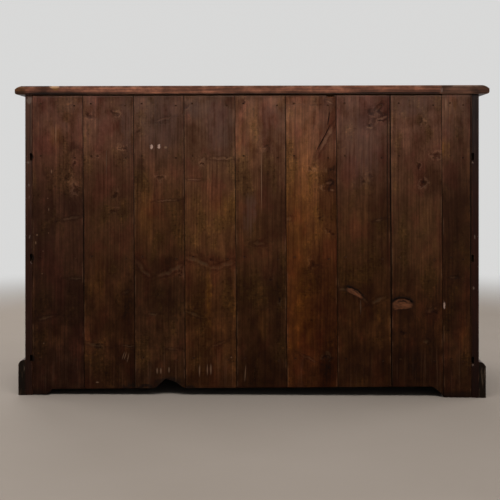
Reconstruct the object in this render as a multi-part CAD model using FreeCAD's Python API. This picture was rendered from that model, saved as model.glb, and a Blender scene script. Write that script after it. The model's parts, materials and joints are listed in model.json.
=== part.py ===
import FreeCAD, Part
import math
import os
from FreeCAD import Vector

# A stained pine dresser base: three drawers over three panelled doors, with a boarded back.
# Millimetres, +Z up. The floor is z = 0, the doors face -Y and the boarded back faces +Y.
# Left and right are as seen by someone who stands at the front.

# Overall sizes
TOP_LENGTH = 1400.0
HEIGHT = 918.0
CARCASS_DEPTH = 480.0  # face of the front frame to the back edges of the sides

# Top, with a rounded nose along the front and both ends
TOP_THICKNESS = 25.0
TOP_SIDE_OVERHANG = 29.5
TOP_FRONT_OVERHANG = 32.0
TOP_BACK_OVERHANG = 6.0
NOSE_RUN = 24.0
NOSE_DROP = 10.0
NOSE_UNDER_ROUND = 6.5

# Sides and the boards housed in them
SIDE_THICKNESS = 21.0
HOUSING_DEPTH = 7.0
JOINT_FIT = 0.1  # play of wood let into wood
FLOOR_UNDERSIDE = 100.0
FLOOR_THICKNESS = 20.0
SHELF_UNDERSIDE = 399.0
SHELF_THICKNESS = 21.0
SHELF_SETBACK = 20.0
DRAWER_BOARD_UNDERSIDE = 697.0
DRAWER_BOARD_THICKNESS = 22.0
BACK_RAIL_HEIGHT = 60.0
BACK_RAIL_THICKNESS = 20.0

# Front frame
FRAME_THICKNESS = 21.0
STILE_WIDTH = 45.0
POST_WIDTH = 30.0
TOP_RAIL_HEIGHT = 30.0
RAIL_TENON_LENGTH = 22.0
RAIL_TENON_HEIGHT = 16.0
POST_TENON_LENGTH = 8.0
POST_TENON_WIDTH = 16.0
FRAME_TENON_THICKNESS = 7.0
COLUMNS = ("left", "middle", "right")

# Back boards, numbered from the +X end, tongued into each other and leaning a little
BACK_THICKNESS = 14.0
BACK_INSET = 1.0  # boards lie this far inside the back edges of the sides
BACK_END_PLAY = 0.6
BOARD_PROPORTIONS = (151.5, 149.5, 148.5, 150.0, 147.5, 148.0, 156.0, 148.5, 83.9)
BOARD_GAP = 1.2
WIDE_GAP = 3.0
WIDE_GAP_AFTER = 7  # board that stands off its neighbour
BOARD_LEAN = 5.5
BOARD_TOP_GAP = 3.5
BOARD_TONGUE_LENGTH = 6.0
BOARD_TONGUE_THICKNESS = 4.6
BOARD_TONGUE_PLAY = 0.7
FOOT_LIFT = 2.0
FIRST_FOOT = 46.0
FIRST_FOOT_SLOPE = 15.0
FIRST_CUT_HEIGHT = 19.0
LAST_FOOT = 83.0
LAST_FOOT_SLOPE = 32.0
LAST_CUT_HEIGHT = 32.5
LAST_FOOT_SAG = 3.0
BITE_BOARD = 3  # board with a broken bite in its lower edge
BITE_FROM_EDGE = 24.0
BITE_WIDTH = 31.5
BITE_SPREAD = 55.0
BITE_HEIGHT = 51.0
BITE_LOW_HEIGHT = 40.0

# Cut nails through the back boards
NAIL_LENGTH = 30.0
NAIL_WIDTH = 3.2
NAIL_HEIGHT = 2.4
NAIL_HEAD_WIDTH = 6.0
NAIL_HEAD_HEIGHT = 4.5
NAIL_HEAD_THICKNESS = 1.4
NAIL_SINK = 0.4
NAIL_EDGE = 24.0
NAIL_STAGGER = 3.0

# Plinth with a rounded upper edge, and the blocks glued behind it
PLINTH_HEIGHT = 105.0
PLINTH_THICKNESS = 20.5
PLINTH_MOULD_RUN = 18.0
PLINTH_MOULD_DROP = 15.0
GLUE_BLOCK_SIZE = 28.0
GLUE_BLOCK_LENGTH = 70.0
CORNER_BLOCK_SIZE = 38.0

# Drawers, dovetailed at all four corners
DRAWER_GAP = 1.0
DRAWER_RUN_CLEARANCE = 0.3
DRAWER_LENGTH = 432.0
DRAWER_FRONT_THICKNESS = 20.0
DRAWER_SIDE_THICKNESS = 11.0
DRAWER_SIDE_DROP = 2.0
DRAWER_BACK_THICKNESS = 11.0
DRAWER_BACK_DROP = 8.0
DRAWER_BOTTOM_THICKNESS = 8.0
DRAWER_BOTTOM_RAISE = 12.0
DRAWER_GROOVE_DEPTH = 5.0
DOVETAIL_COUNT = 3
DOVETAIL_PIN = 9.0
DOVETAIL_SLOPE = 0.16
DOVETAIL_LAP = 6.0  # wood left in front of the dovetails
GUIDE_HEIGHT = 18.0
KICKER_LAP = 9.0
STOP_INSET = 45.0
STOP_WIDTH = 40.0
STOP_DEPTH = 14.0
STOP_HEIGHT = 6.0
STOP_CLEARANCE = 0.3

# Doors with a panel held loose in grooves
DOOR_GAP = 2.0
DOOR_THICKNESS = 21.0
DOOR_STILE_WIDTH = 58.0
DOOR_TOP_RAIL_WIDTH = 58.0
DOOR_BOTTOM_RAIL_WIDTH = 78.0
DOOR_TENON_LENGTH = 44.0
DOOR_TENON_SHOULDER = 12.0
DOOR_GROOVE_WIDTH = 7.0
DOOR_GROOVE_DEPTH = 9.0
DOOR_CHAMFER = 5.0
PANEL_PLAY = 1.5
PANEL_BEVEL_WIDTH = 34.0
PANEL_BEVEL_RISE = 2.2
PANEL_FIELD_STEP = 1.4
HINGED_LEFT = (True, True, False)

# Butt hinges
HINGE_HEIGHT = 64.0
HINGE_INSET = 95.0  # door's end to the middle of the hinge
LEAF_THICKNESS = 1.5
LEAF_DEPTH = 17.0
LEAF_PLAY = 0.4
KNUCKLE_RADIUS = 3.5
KNUCKLE_CLEARANCE = 0.3
HINGE_PIN_RADIUS = 1.6
HINGE_PIN_FIT = 0.05
SCREW_RADIUS = 1.6
SCREW_HEAD_RADIUS = 3.1
SCREW_LENGTH = 13.0
SCREW_SPREAD = 22.0
SCREW_FROM_FRONT = 9.0
SCREW_SLOT_WIDTH = 0.8
SCREW_SLOT_DEPTH = 0.7

# Turned knobs, and the latch that each door knob turns
KNOB_RADIUS = 19.0
KNOB_PROJECTION = 38.0
KNOB_WAIST = 24.0
KNOB_NECK_RADIUS = 9.0
KNOB_COLLAR_RADIUS = 13.0
KNOB_COLLAR_THICKNESS = 4.0
KNOB_SEAT = 0.3
KNOB_SPIGOT_RADIUS = 7.5
KNOB_SPIGOT_FIT = 0.15
DRAWER_KNOB_SPREAD = 190.0
DOOR_KNOB_HEIGHT = 460.0
SPINDLE_RADIUS = 6.0
SPINDLE_FIT = 0.08
LATCH_THICKNESS = 8.0
LATCH_WIDTH = 18.0
LATCH_TAIL = 13.0
LATCH_HOLD = 11.0  # how far the turned latch reaches behind the frame
LATCH_CLEARANCE = 0.3

# Planes and spans that the pieces share
CARCASS_HALF = TOP_LENGTH / 2 - TOP_SIDE_OVERHANG
INNER_HALF = CARCASS_HALF - SIDE_THICKNESS
CARCASS_TOP = HEIGHT - TOP_THICKNESS
FRONT_REACH = max(TOP_FRONT_OVERHANG, KNOB_PROJECTION)
BACK = (CARCASS_DEPTH + FRONT_REACH + TOP_BACK_OVERHANG) / 2 - TOP_BACK_OVERHANG
FRONT = BACK - CARCASS_DEPTH
FRAME_BACK = FRONT + FRAME_THICKNESS
BACK_FACE = BACK - BACK_INSET
BACK_INNER = BACK_FACE - BACK_THICKNESS
FLOOR = (FLOOR_UNDERSIDE, FLOOR_UNDERSIDE + FLOOR_THICKNESS)
SHELF = (SHELF_UNDERSIDE, SHELF_UNDERSIDE + SHELF_THICKNESS)
DRAWER_BOARD = (DRAWER_BOARD_UNDERSIDE, DRAWER_BOARD_UNDERSIDE + DRAWER_BOARD_THICKNESS)
TOP_RAIL = (CARCASS_TOP - TOP_RAIL_HEIGHT, CARCASS_TOP)
BACK_RAIL = (CARCASS_TOP - BACK_RAIL_HEIGHT, CARCASS_TOP)
BACK_RAIL_Y = (BACK_INNER - BACK_RAIL_THICKNESS, BACK_INNER)
FRAME_Y = (FRONT, FRAME_BACK)
FRAME_MIDDLE = (FRONT + FRAME_BACK) / 2
FRAME_TENON_Y = (FRAME_MIDDLE - FRAME_TENON_THICKNESS / 2, FRAME_MIDDLE + FRAME_TENON_THICKNESS / 2)
FRAME_INNER_HALF = CARCASS_HALF - STILE_WIDTH
OPENING_WIDTH = (2 * FRAME_INNER_HALF - (len(COLUMNS) - 1) * POST_WIDTH) / len(COLUMNS)
OPENINGS = []
for column in range(len(COLUMNS)):
    opening_start = -FRAME_INNER_HALF + column * (OPENING_WIDTH + POST_WIDTH)
    OPENINGS.append((opening_start, opening_start + OPENING_WIDTH))
POSTS = [(OPENINGS[i][1], OPENINGS[i + 1][0]) for i in range(len(OPENINGS) - 1)]
HINGE_AXIS_Y = FRONT - KNUCKLE_RADIUS - KNUCKLE_CLEARANCE
LATCH_FRONT = FRONT + max(DOOR_THICKNESS, FRAME_THICKNESS) + LATCH_CLEARANCE


# Shapes used by many pieces

def block(x, y, z):
    """A box between the low and high ends given along each axis."""
    return Part.makeBox(x[1] - x[0], y[1] - y[0], z[1] - z[0], Vector(x[0], y[0], z[0]))


def widened(span, by):
    return (span[0] - by, span[1] + by)


def ordered(one, other):
    return (min(one, other), max(one, other))


def filled(points):
    return Part.Face(Part.makePolygon(points + points[:1]))


def upright(points, y):
    """An outline seen from the back, in x and z, made solid along y."""
    return filled([Vector(px, y[0], pz) for px, pz in points]).extrude(Vector(0, y[1] - y[0], 0))


def sideways(points, x):
    """An outline seen from the end, in y and z, made solid along x."""
    return filled([Vector(x[0], py, pz) for py, pz in points]).extrude(Vector(x[1] - x[0], 0, 0))


def flatways(points, z):
    """An outline seen from above, in x and y, made solid along z."""
    return filled([Vector(px, py, z[0]) for px, py in points]).extrude(Vector(0, 0, z[1] - z[0]))


def outline(start, *steps):
    """A face round a path: a step is a point for a line, or a middle and an end for an arc."""
    edges = []
    here = start
    for step in steps:
        if isinstance(step, tuple):
            middle, end = step
            edges.append(Part.Arc(here, middle, end).toShape())
        else:
            end = step
            edges.append(Part.LineSegment(here, end).toShape())
        here = end
    if not here.isEqual(start, 1e-6):
        edges.append(Part.LineSegment(here, start).toShape())
    return Part.Face(Part.Wire(edges))


def curve_middle(run, drop):
    """Middle of an arc that sets off level and falls by drop over run, from its start."""
    radius = (run ** 2 + drop ** 2) / (2 * drop)
    half_turn = math.atan2(drop, run)
    return radius * math.sin(half_turn), radius * (1 - math.cos(half_turn))


def frustum(x, z, y_wide, y_narrow, narrowing):
    """A tapered block whose x and z spans close in by narrowing between two planes."""
    rings = []
    for y, shrink in ((y_wide, 0.0), (y_narrow, narrowing)):
        low = (x[0] + shrink, z[0] + shrink)
        high = (x[1] - shrink, z[1] - shrink)
        corners = [(low[0], low[1]), (high[0], low[1]), (high[0], high[1]), (low[0], high[1])]
        ring = [Vector(px, y, pz) for px, pz in corners]
        rings.append(Part.makePolygon(ring + ring[:1]))
    return Part.makeLoft(rings, True, True)


def joined(first, *others):
    return first.fuse(list(others)).removeSplitter()


def write(name, *solids):
    shape = solids[0] if len(solids) == 1 else Part.makeCompound(list(solids))
    shape.exportStep("parts/" + name + ".step")
    box = shape.BoundBox
    print(name, len(shape.Solids), [round(size, 1) for size in (box.XLength, box.YLength, box.ZLength)])


# Nails, which the boards and what they are nailed to are bored for

def board_lines():
    """The low and high edge of each back board, each as its x at mid height and its lean."""
    half = INNER_HALF - BACK_END_PLAY
    gaps = [BOARD_GAP] * (len(BOARD_PROPORTIONS) - 1)
    gaps[WIDE_GAP_AFTER - 1] = WIDE_GAP
    scale = (2 * half - sum(gaps)) / sum(BOARD_PROPORTIONS)
    edges = []
    high = (half, 0.0)
    for proportion, gap in zip(BOARD_PROPORTIONS, gaps):
        low = high[0] - proportion * scale
        edges.append(((low, BOARD_LEAN), high))
        high = (low - gap, BOARD_LEAN)
    edges.append(((-half, 0.0), high))
    return edges


def leaning(line, z):
    """Where a board's edge is at a height."""
    return line[0] + line[1] * (z / CARCASS_TOP - 0.5)


def middle_of(span):
    return (span[0] + span[1]) / 2


BOARD_LINES = board_lines()
NAIL_LEVELS = [middle_of(level) for level in (FLOOR, SHELF, DRAWER_BOARD, BACK_RAIL)]


def nail_places():
    places = []
    for low, high in BOARD_LINES:
        for level in NAIL_LEVELS:
            places.append((leaning(low, level) + NAIL_EDGE, level - NAIL_STAGGER))
            places.append((leaning(high, level) - NAIL_EDGE, level + NAIL_STAGGER))
    return places


def nail_body(x, z, face):
    """A cut nail whose head reaches out to a plane."""
    head_under = BACK_FACE - NAIL_SINK - NAIL_HEAD_THICKNESS
    shank = block(
        (x - NAIL_WIDTH / 2, x + NAIL_WIDTH / 2),
        (head_under - NAIL_LENGTH, head_under),
        (z - NAIL_HEIGHT / 2, z + NAIL_HEIGHT / 2),
    )
    head = block(
        (x - NAIL_HEAD_WIDTH / 2, x + NAIL_HEAD_WIDTH / 2),
        (head_under, face),
        (z - NAIL_HEAD_HEIGHT / 2, z + NAIL_HEAD_HEIGHT / 2),
    )
    return joined(shank, head)


NAILS = [nail_body(x, z, BACK_FACE - NAIL_SINK) for x, z in nail_places()]
NAIL_HOLES = [nail_body(x, z, BACK_FACE) for x, z in nail_places()]


def nailed(shape):
    """A piece with holes for the nails that reach it."""
    return shape.cut([hole for hole in NAIL_HOLES if hole.BoundBox.intersect(shape.BoundBox)])


# Hinges

def hinge_axis(column):
    """The x of a door's hinge line, and +1 if the door lies on its +X side, otherwise -1."""
    if HINGED_LEFT[column]:
        return OPENINGS[column][0] + DOOR_GAP / 2, 1
    return OPENINGS[column][1] - DOOR_GAP / 2, -1


def door_height():
    return widened((FLOOR[1], DRAWER_BOARD[0]), -DOOR_GAP)


def hinge_spans():
    low, high = door_height()
    half = HINGE_HEIGHT / 2
    return [(z - half, z + half) for z in (low + HINGE_INSET, high - HINGE_INSET)]


def hinge_screws(axis_x, toward, z):
    """The countersunk screws of a leaf, with no slot cut in their heads yet."""
    along = Vector(toward, 0, 0)
    screws = []
    for offset in (-SCREW_SPREAD, 0.0, SCREW_SPREAD):
        face = Vector(axis_x + toward * LEAF_PLAY / 2, FRONT + SCREW_FROM_FRONT, middle_of(z) + offset)
        head = Part.makeCone(SCREW_HEAD_RADIUS, SCREW_RADIUS, LEAF_THICKNESS, face, along)
        shank = Part.makeCylinder(SCREW_RADIUS, SCREW_LENGTH, face + along * LEAF_THICKNESS, along)
        screws.append(joined(head, shank))
    return screws


def slotted(screws, toward):
    """The same screws with the slot that turns them."""
    made = []
    for screw in screws:
        box = screw.BoundBox
        face = box.XMin if toward > 0 else box.XMax
        slot = block(
            ordered(face, face + toward * SCREW_SLOT_DEPTH),
            (box.YMin, box.YMax),
            widened((box.Center.z, box.Center.z), SCREW_SLOT_WIDTH / 2),
        )
        made.append(screw.cut(slot))
    return made


def hinge_leaf(axis_x, toward, z, knuckles):
    """A leaf in the gap beside a door, with its share of the knuckles round the pin."""
    faces = ordered(axis_x + toward * LEAF_PLAY / 2, axis_x + toward * (LEAF_PLAY / 2 + LEAF_THICKNESS))
    pieces = [block(faces, (FRONT, FRONT + LEAF_DEPTH), z)]
    for low, high in knuckles:
        pieces.append(block(faces, (HINGE_AXIS_Y, FRONT), (low, high)))
        pieces.append(Part.makeCylinder(KNUCKLE_RADIUS, high - low, Vector(axis_x, HINGE_AXIS_Y, low)))
    bore = Part.makeCylinder(
        HINGE_PIN_RADIUS + HINGE_PIN_FIT, z[1] - z[0], Vector(axis_x, HINGE_AXIS_Y, z[0])
    )
    return joined(*pieces).cut([bore] + hinge_screws(axis_x, toward, z))


def hinge_seat(axis_x, toward, z):
    """The recess for a leaf, and the holes for its screws, in the edge of a stile or post."""
    reach = LEAF_PLAY / 2 + LEAF_THICKNESS + JOINT_FIT
    faces = ordered(axis_x, axis_x + toward * reach)
    recess = block(faces, (FRONT, FRONT + LEAF_DEPTH + JOINT_FIT), widened(z, JOINT_FIT))
    return [recess] + hinge_screws(axis_x, toward, z)


def knuckle_shares(z):
    """Three knuckles: the outer two belong to the frame's leaf, the middle one to the door's."""
    third = (z[1] - z[0]) / 3
    lower = (z[0], z[0] + third)
    middle = widened((z[0] + third, z[1] - third), -KNUCKLE_CLEARANCE)
    upper = (z[1] - third, z[1])
    return [lower, upper], [middle]


FRAME_HINGES = []
FRAME_SEATS = []
for column in range(len(COLUMNS)):
    axis_x, toward_door = hinge_axis(column)
    for span in hinge_spans():
        frame_knuckles, door_knuckles = knuckle_shares(span)
        FRAME_HINGES.append(hinge_leaf(axis_x, -toward_door, span, frame_knuckles))
        pin_foot = Vector(axis_x, HINGE_AXIS_Y, span[0])
        FRAME_HINGES.append(Part.makeCylinder(HINGE_PIN_RADIUS, HINGE_HEIGHT, pin_foot))
        FRAME_HINGES += slotted(hinge_screws(axis_x, -toward_door, span), -toward_door)
        FRAME_SEATS += hinge_seat(axis_x, -toward_door, span)


# Carcass

def top_board():
    back = BACK + TOP_BACK_OVERHANG
    front = FRONT - TOP_FRONT_OVERHANG
    run, drop = curve_middle(NOSE_RUN, NOSE_DROP)
    under_run, under_drop = curve_middle(NOSE_UNDER_ROUND, NOSE_UNDER_ROUND)
    under = CARCASS_TOP

    def nose(place, tip, inward):
        """From the upper surface, round the nose, to the underside."""
        start = place(tip + inward * NOSE_RUN, HEIGHT)
        over = place(tip + inward * (NOSE_RUN - run), HEIGHT - drop)
        brow = place(tip, HEIGHT - NOSE_DROP)
        chin = place(tip, under + NOSE_UNDER_ROUND)
        below = place(tip + inward * (NOSE_UNDER_ROUND - under_run), under + under_drop)
        end = place(tip + inward * NOSE_UNDER_ROUND, under)
        return start, over, brow, chin, below, end

    def end_view(y, z):
        return Vector(-TOP_LENGTH / 2, y, z)

    def back_view(x, z):
        return Vector(x, front, z)

    start, over, brow, chin, below, end = nose(end_view, front, 1)
    lengthways = outline(
        end_view(back, HEIGHT), start, (over, brow), chin, (below, end), end_view(back, under)
    )
    left = nose(back_view, -TOP_LENGTH / 2, 1)
    right = nose(back_view, TOP_LENGTH / 2, -1)
    crossways = outline(
        right[0], left[0], (left[1], left[2]), left[3], (left[4], left[5]),
        right[5], (right[4], right[3]), right[2], (right[1], right[0]),
    )
    along = lengthways.extrude(Vector(TOP_LENGTH, 0, 0))
    return along.common(crossways.extrude(Vector(0, back - front, 0)))


def side_board(toward):
    """The +X side where toward is 1, the -X side where it is -1."""
    side = block(
        ordered(toward * INNER_HALF, toward * CARCASS_HALF), (FRAME_BACK, BACK), (0, CARCASS_TOP)
    )
    depth = ordered(toward * INNER_HALF, toward * (INNER_HALF + HOUSING_DEPTH))
    cuts = [
        block(depth, (FRAME_BACK, BACK), widened(FLOOR, JOINT_FIT)),
        block(depth, (FRAME_BACK + SHELF_SETBACK - JOINT_FIT, BACK), widened(SHELF, JOINT_FIT)),
        block(depth, (FRAME_BACK, BACK), widened(DRAWER_BOARD, JOINT_FIT)),
        block(depth, widened(BACK_RAIL_Y, JOINT_FIT), (BACK_RAIL[0] - JOINT_FIT, CARCASS_TOP)),
    ]
    return side.cut(cuts)


def housed_board(level, y):
    reach = INNER_HALF + HOUSING_DEPTH - JOINT_FIT
    return block((-reach, reach), y, level)


def post_tenon(x, z):
    """The stub on a post's end, let into the board or rail that it meets."""
    middle = middle_of(x)
    return block((middle - POST_TENON_WIDTH / 2, middle + POST_TENON_WIDTH / 2), FRAME_TENON_Y, z)


def post_mortises(z):
    tools = []
    for post in POSTS:
        tenon = post_tenon(post, z)
        box = tenon.BoundBox
        tools.append(block(
            widened((box.XMin, box.XMax), JOINT_FIT),
            widened((box.YMin, box.YMax), JOINT_FIT),
            widened((box.ZMin, box.ZMax), JOINT_FIT),
        ))
    return tools


def fronted_board(level):
    """A housed board that comes forward between the stiles as a rail of the front frame."""
    behind = housed_board(level, (FRAME_BACK, BACK_INNER))
    rail = block((-FRAME_INNER_HALF, FRAME_INNER_HALF), FRAME_Y, level)
    return joined(behind, rail)


DOOR_POST_TENONS = (
    (FLOOR[1] - POST_TENON_LENGTH, FLOOR[1]),
    (DRAWER_BOARD[0], DRAWER_BOARD[0] + POST_TENON_LENGTH),
)
DRAWER_POST_TENONS = (
    (DRAWER_BOARD[1] - POST_TENON_LENGTH, DRAWER_BOARD[1]),
    (TOP_RAIL[0], TOP_RAIL[0] + POST_TENON_LENGTH),
)


def rail_tenon(toward):
    middle = middle_of(TOP_RAIL)
    z = (middle - RAIL_TENON_HEIGHT / 2, middle + RAIL_TENON_HEIGHT / 2)
    x = ordered(toward * FRAME_INNER_HALF, toward * (FRAME_INNER_HALF + RAIL_TENON_LENGTH))
    return x, z


def top_rail():
    rail = block((-FRAME_INNER_HALF, FRAME_INNER_HALF), FRAME_Y, TOP_RAIL)
    tenons = []
    for toward in (-1, 1):
        x, z = rail_tenon(toward)
        tenons.append(block(x, FRAME_TENON_Y, z))
    return joined(rail, *tenons).cut(post_mortises(DRAWER_POST_TENONS[1]))


def stile(toward):
    body = block(
        ordered(toward * FRAME_INNER_HALF, toward * CARCASS_HALF), FRAME_Y, (0, CARCASS_TOP)
    )
    x, z = rail_tenon(toward)
    mortise = block(widened(x, JOINT_FIT), widened(FRAME_TENON_Y, JOINT_FIT), widened(z, JOINT_FIT))
    return body.cut([mortise] + FRAME_SEATS)


def posts(z, tenons):
    made = []
    for post in POSTS:
        stubs = [post_tenon(post, tenon) for tenon in tenons]
        made.append(joined(block(post, FRAME_Y, z), *stubs).cut(FRAME_SEATS))
    return made


def guide_spans():
    """The strips of drawer board that the drawers run between."""
    lows = [-INNER_HALF] + [opening[1] for opening in OPENINGS]
    highs = [opening[0] for opening in OPENINGS] + [INNER_HALF]
    return list(zip(lows, highs))


def drawer_guides():
    made = []
    for span in guide_spans():
        low = max(-INNER_HALF, span[0] - KICKER_LAP)
        high = min(INNER_HALF, span[1] + KICKER_LAP)
        guide_z = (DRAWER_BOARD[1], DRAWER_BOARD[1] + GUIDE_HEIGHT)
        made.append(block(span, (FRAME_BACK, BACK_INNER), guide_z))
        made.append(block((low, high), (FRAME_BACK, BACK_RAIL_Y[0]), TOP_RAIL))
    return made


def drawer_stops():
    made = []
    start = FRONT + DRAWER_FRONT_THICKNESS + STOP_CLEARANCE
    for opening in OPENINGS:
        for low in (opening[0] + STOP_INSET, opening[1] - STOP_INSET - STOP_WIDTH):
            made.append(block(
                (low, low + STOP_WIDTH),
                (start, start + STOP_DEPTH),
                (DRAWER_BOARD[1], DRAWER_BOARD[1] + STOP_HEIGHT),
            ))
    return made


def back_boards():
    first = INNER_HALF - FIRST_FOOT
    last = LAST_FOOT - INNER_HALF
    foot_top = Vector(last + LAST_FOOT_SLOPE, BACK_INNER, LAST_CUT_HEIGHT)
    foot_toe = Vector(last, BACK_INNER, FOOT_LIFT)
    slope = foot_toe - foot_top
    scoop = Vector(slope.z, 0, -slope.x).normalize() * LAST_FOOT_SAG
    kick_space = outline(
        Vector(first, BACK_INNER, FOOT_LIFT),
        Vector(first - FIRST_FOOT_SLOPE, BACK_INNER, FIRST_CUT_HEIGHT),
        foot_top,
        ((foot_top + foot_toe) / 2 + scoop, foot_toe),
    ).extrude(Vector(0, BACK_THICKNESS, 0))
    shoulder = BOARD_LINES[BITE_BOARD - 1][0][0] + BITE_FROM_EDGE
    peak = shoulder + BITE_WIDTH
    bite = upright(
        [
            (shoulder - BITE_SPREAD, FOOT_LIFT),
            (shoulder, BITE_LOW_HEIGHT),
            (peak, BITE_HEIGHT),
            (peak + BITE_SPREAD, FOOT_LIFT),
        ],
        (BACK_INNER, BACK_FACE),
    )

    def strip(low, high, y, z):
        corners = [(leaning(low, z[0]), z[0]), (leaning(high, z[0]), z[0])]
        corners += [(leaning(high, z[1]), z[1]), (leaning(low, z[1]), z[1])]
        return upright(corners, y)

    def shifted(line, by):
        return (line[0] + by, line[1])

    middle = middle_of((BACK_INNER, BACK_FACE))
    tongue_y = widened((middle, middle), BOARD_TONGUE_THICKNESS / 2)
    groove_y = widened(tongue_y, JOINT_FIT)
    boards = []
    for number, (low, high) in enumerate(BOARD_LINES, 1):
        last_board = number == len(BOARD_LINES)
        z = (FOOT_LIFT, CARCASS_TOP if last_board else CARCASS_TOP - BOARD_TOP_GAP)
        board = strip(low, high, (BACK_INNER, BACK_FACE), z)
        if number > 1:
            groove_end = shifted(high, -BOARD_TONGUE_LENGTH - BOARD_TONGUE_PLAY)
            board = board.cut(strip(groove_end, high, groove_y, z))
        if not last_board:
            next_edge = BOARD_LINES[number][1]
            tongue = strip(shifted(next_edge, -BOARD_TONGUE_LENGTH), low, tongue_y, z)
            board = joined(board, tongue)
        boards.append(nailed(board.cut([kick_space, bite])))
    return boards


def plinth_face(place, inner, outward):
    """A plinth's section: flat behind, with the rounded upper edge on its outer side."""
    outer = inner + outward * PLINTH_THICKNESS
    run, drop = curve_middle(PLINTH_MOULD_RUN, PLINTH_MOULD_DROP)
    shoulder = outer - outward * PLINTH_MOULD_RUN
    return outline(
        place(inner, 0),
        place(inner, PLINTH_HEIGHT),
        place(shoulder, PLINTH_HEIGHT),
        (
            place(shoulder + outward * run, PLINTH_HEIGHT - drop),
            place(outer, PLINTH_HEIGHT - PLINTH_MOULD_DROP),
        ),
        place(outer, 0),
    )


def front_plinth():
    tip = CARCASS_HALF + PLINTH_THICKNESS
    outer = FRONT - PLINTH_THICKNESS
    bar = plinth_face(lambda y, z: Vector(-tip, y, z), FRONT, -1).extrude(Vector(2 * tip, 0, 0))
    plan = [(-CARCASS_HALF, FRONT), (-tip, outer), (tip, outer), (CARCASS_HALF, FRONT)]
    return bar.common(flatways(plan, (0, PLINTH_HEIGHT)))


def side_plinth(toward):
    inner = toward * CARCASS_HALF
    outer = toward * (CARCASS_HALF + PLINTH_THICKNESS)
    start = FRONT - PLINTH_THICKNESS
    section = plinth_face(lambda x, z: Vector(x, start, z), inner, toward)
    bar = section.extrude(Vector(0, BACK - start, 0))
    plan = [(inner, FRONT), (outer, start), (outer, BACK), (inner, BACK)]
    return bar.common(flatways(plan, (0, PLINTH_HEIGHT)))


def glue_blocks():
    made = []
    size = GLUE_BLOCK_SIZE
    corner = [(FRONT, FLOOR[0]), (FRONT, FLOOR[0] - size), (FRONT + size, FLOOR[0])]
    for opening in OPENINGS:
        middle = middle_of(opening)
        made.append(sideways(corner, widened((middle, middle), GLUE_BLOCK_LENGTH / 2)))
    for toward in (-1, 1):
        x = ordered(toward * (INNER_HALF - CORNER_BLOCK_SIZE), toward * INNER_HALF)
        made.append(block(x, (BACK_INNER - CORNER_BLOCK_SIZE, BACK_INNER), (FOOT_LIFT, FLOOR[0])))
    return made


# Knobs

def knob(x, z, stem_radius, stem_end):
    """A turned knob in front of the frame's face, on a stem that runs back to a plane."""

    def place(radius, out):
        return Vector(x + radius, FRONT - out, z)

    collar = KNOB_SEAT + KNOB_COLLAR_THICKNESS
    neck_run, neck_rise = curve_middle(KNOB_WAIST - collar, KNOB_RADIUS - KNOB_NECK_RADIUS)
    dome_run, dome_drop = curve_middle(KNOB_RADIUS, KNOB_PROJECTION - KNOB_WAIST)
    face = outline(
        place(0, FRONT - stem_end),
        place(stem_radius, FRONT - stem_end),
        place(stem_radius, KNOB_SEAT),
        place(KNOB_COLLAR_RADIUS, KNOB_SEAT),
        place(KNOB_COLLAR_RADIUS, collar),
        place(KNOB_NECK_RADIUS, collar),
        (place(KNOB_NECK_RADIUS + neck_rise, collar + neck_run), place(KNOB_RADIUS, KNOB_WAIST)),
        (place(dome_run, KNOB_PROJECTION - dome_drop), place(0, KNOB_PROJECTION)),
    )
    return face.revolve(Vector(x, 0, z), Vector(0, 1, 0), 360)


def stem_bore(x, z, radius, y):
    return Part.makeCylinder(radius, y[1] - y[0], Vector(x, y[0], z), Vector(0, 1, 0))


# Drawers

def dovetails(z, root, end):
    """Tails between two heights, each narrow at its root and wide at its end, in y and z."""
    pitch = (z[1] - z[0]) / DOVETAIL_COUNT
    wide = (pitch - DOVETAIL_PIN) / 2
    narrow = wide - DOVETAIL_SLOPE * abs(end - root)
    tails = []
    for tail in range(DOVETAIL_COUNT):
        centre = z[0] + (tail + 0.5) * pitch
        tails.append([
            (root, centre - narrow), (end, centre - wide), (end, centre + wide), (root, centre + narrow),
        ])
    return tails


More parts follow.
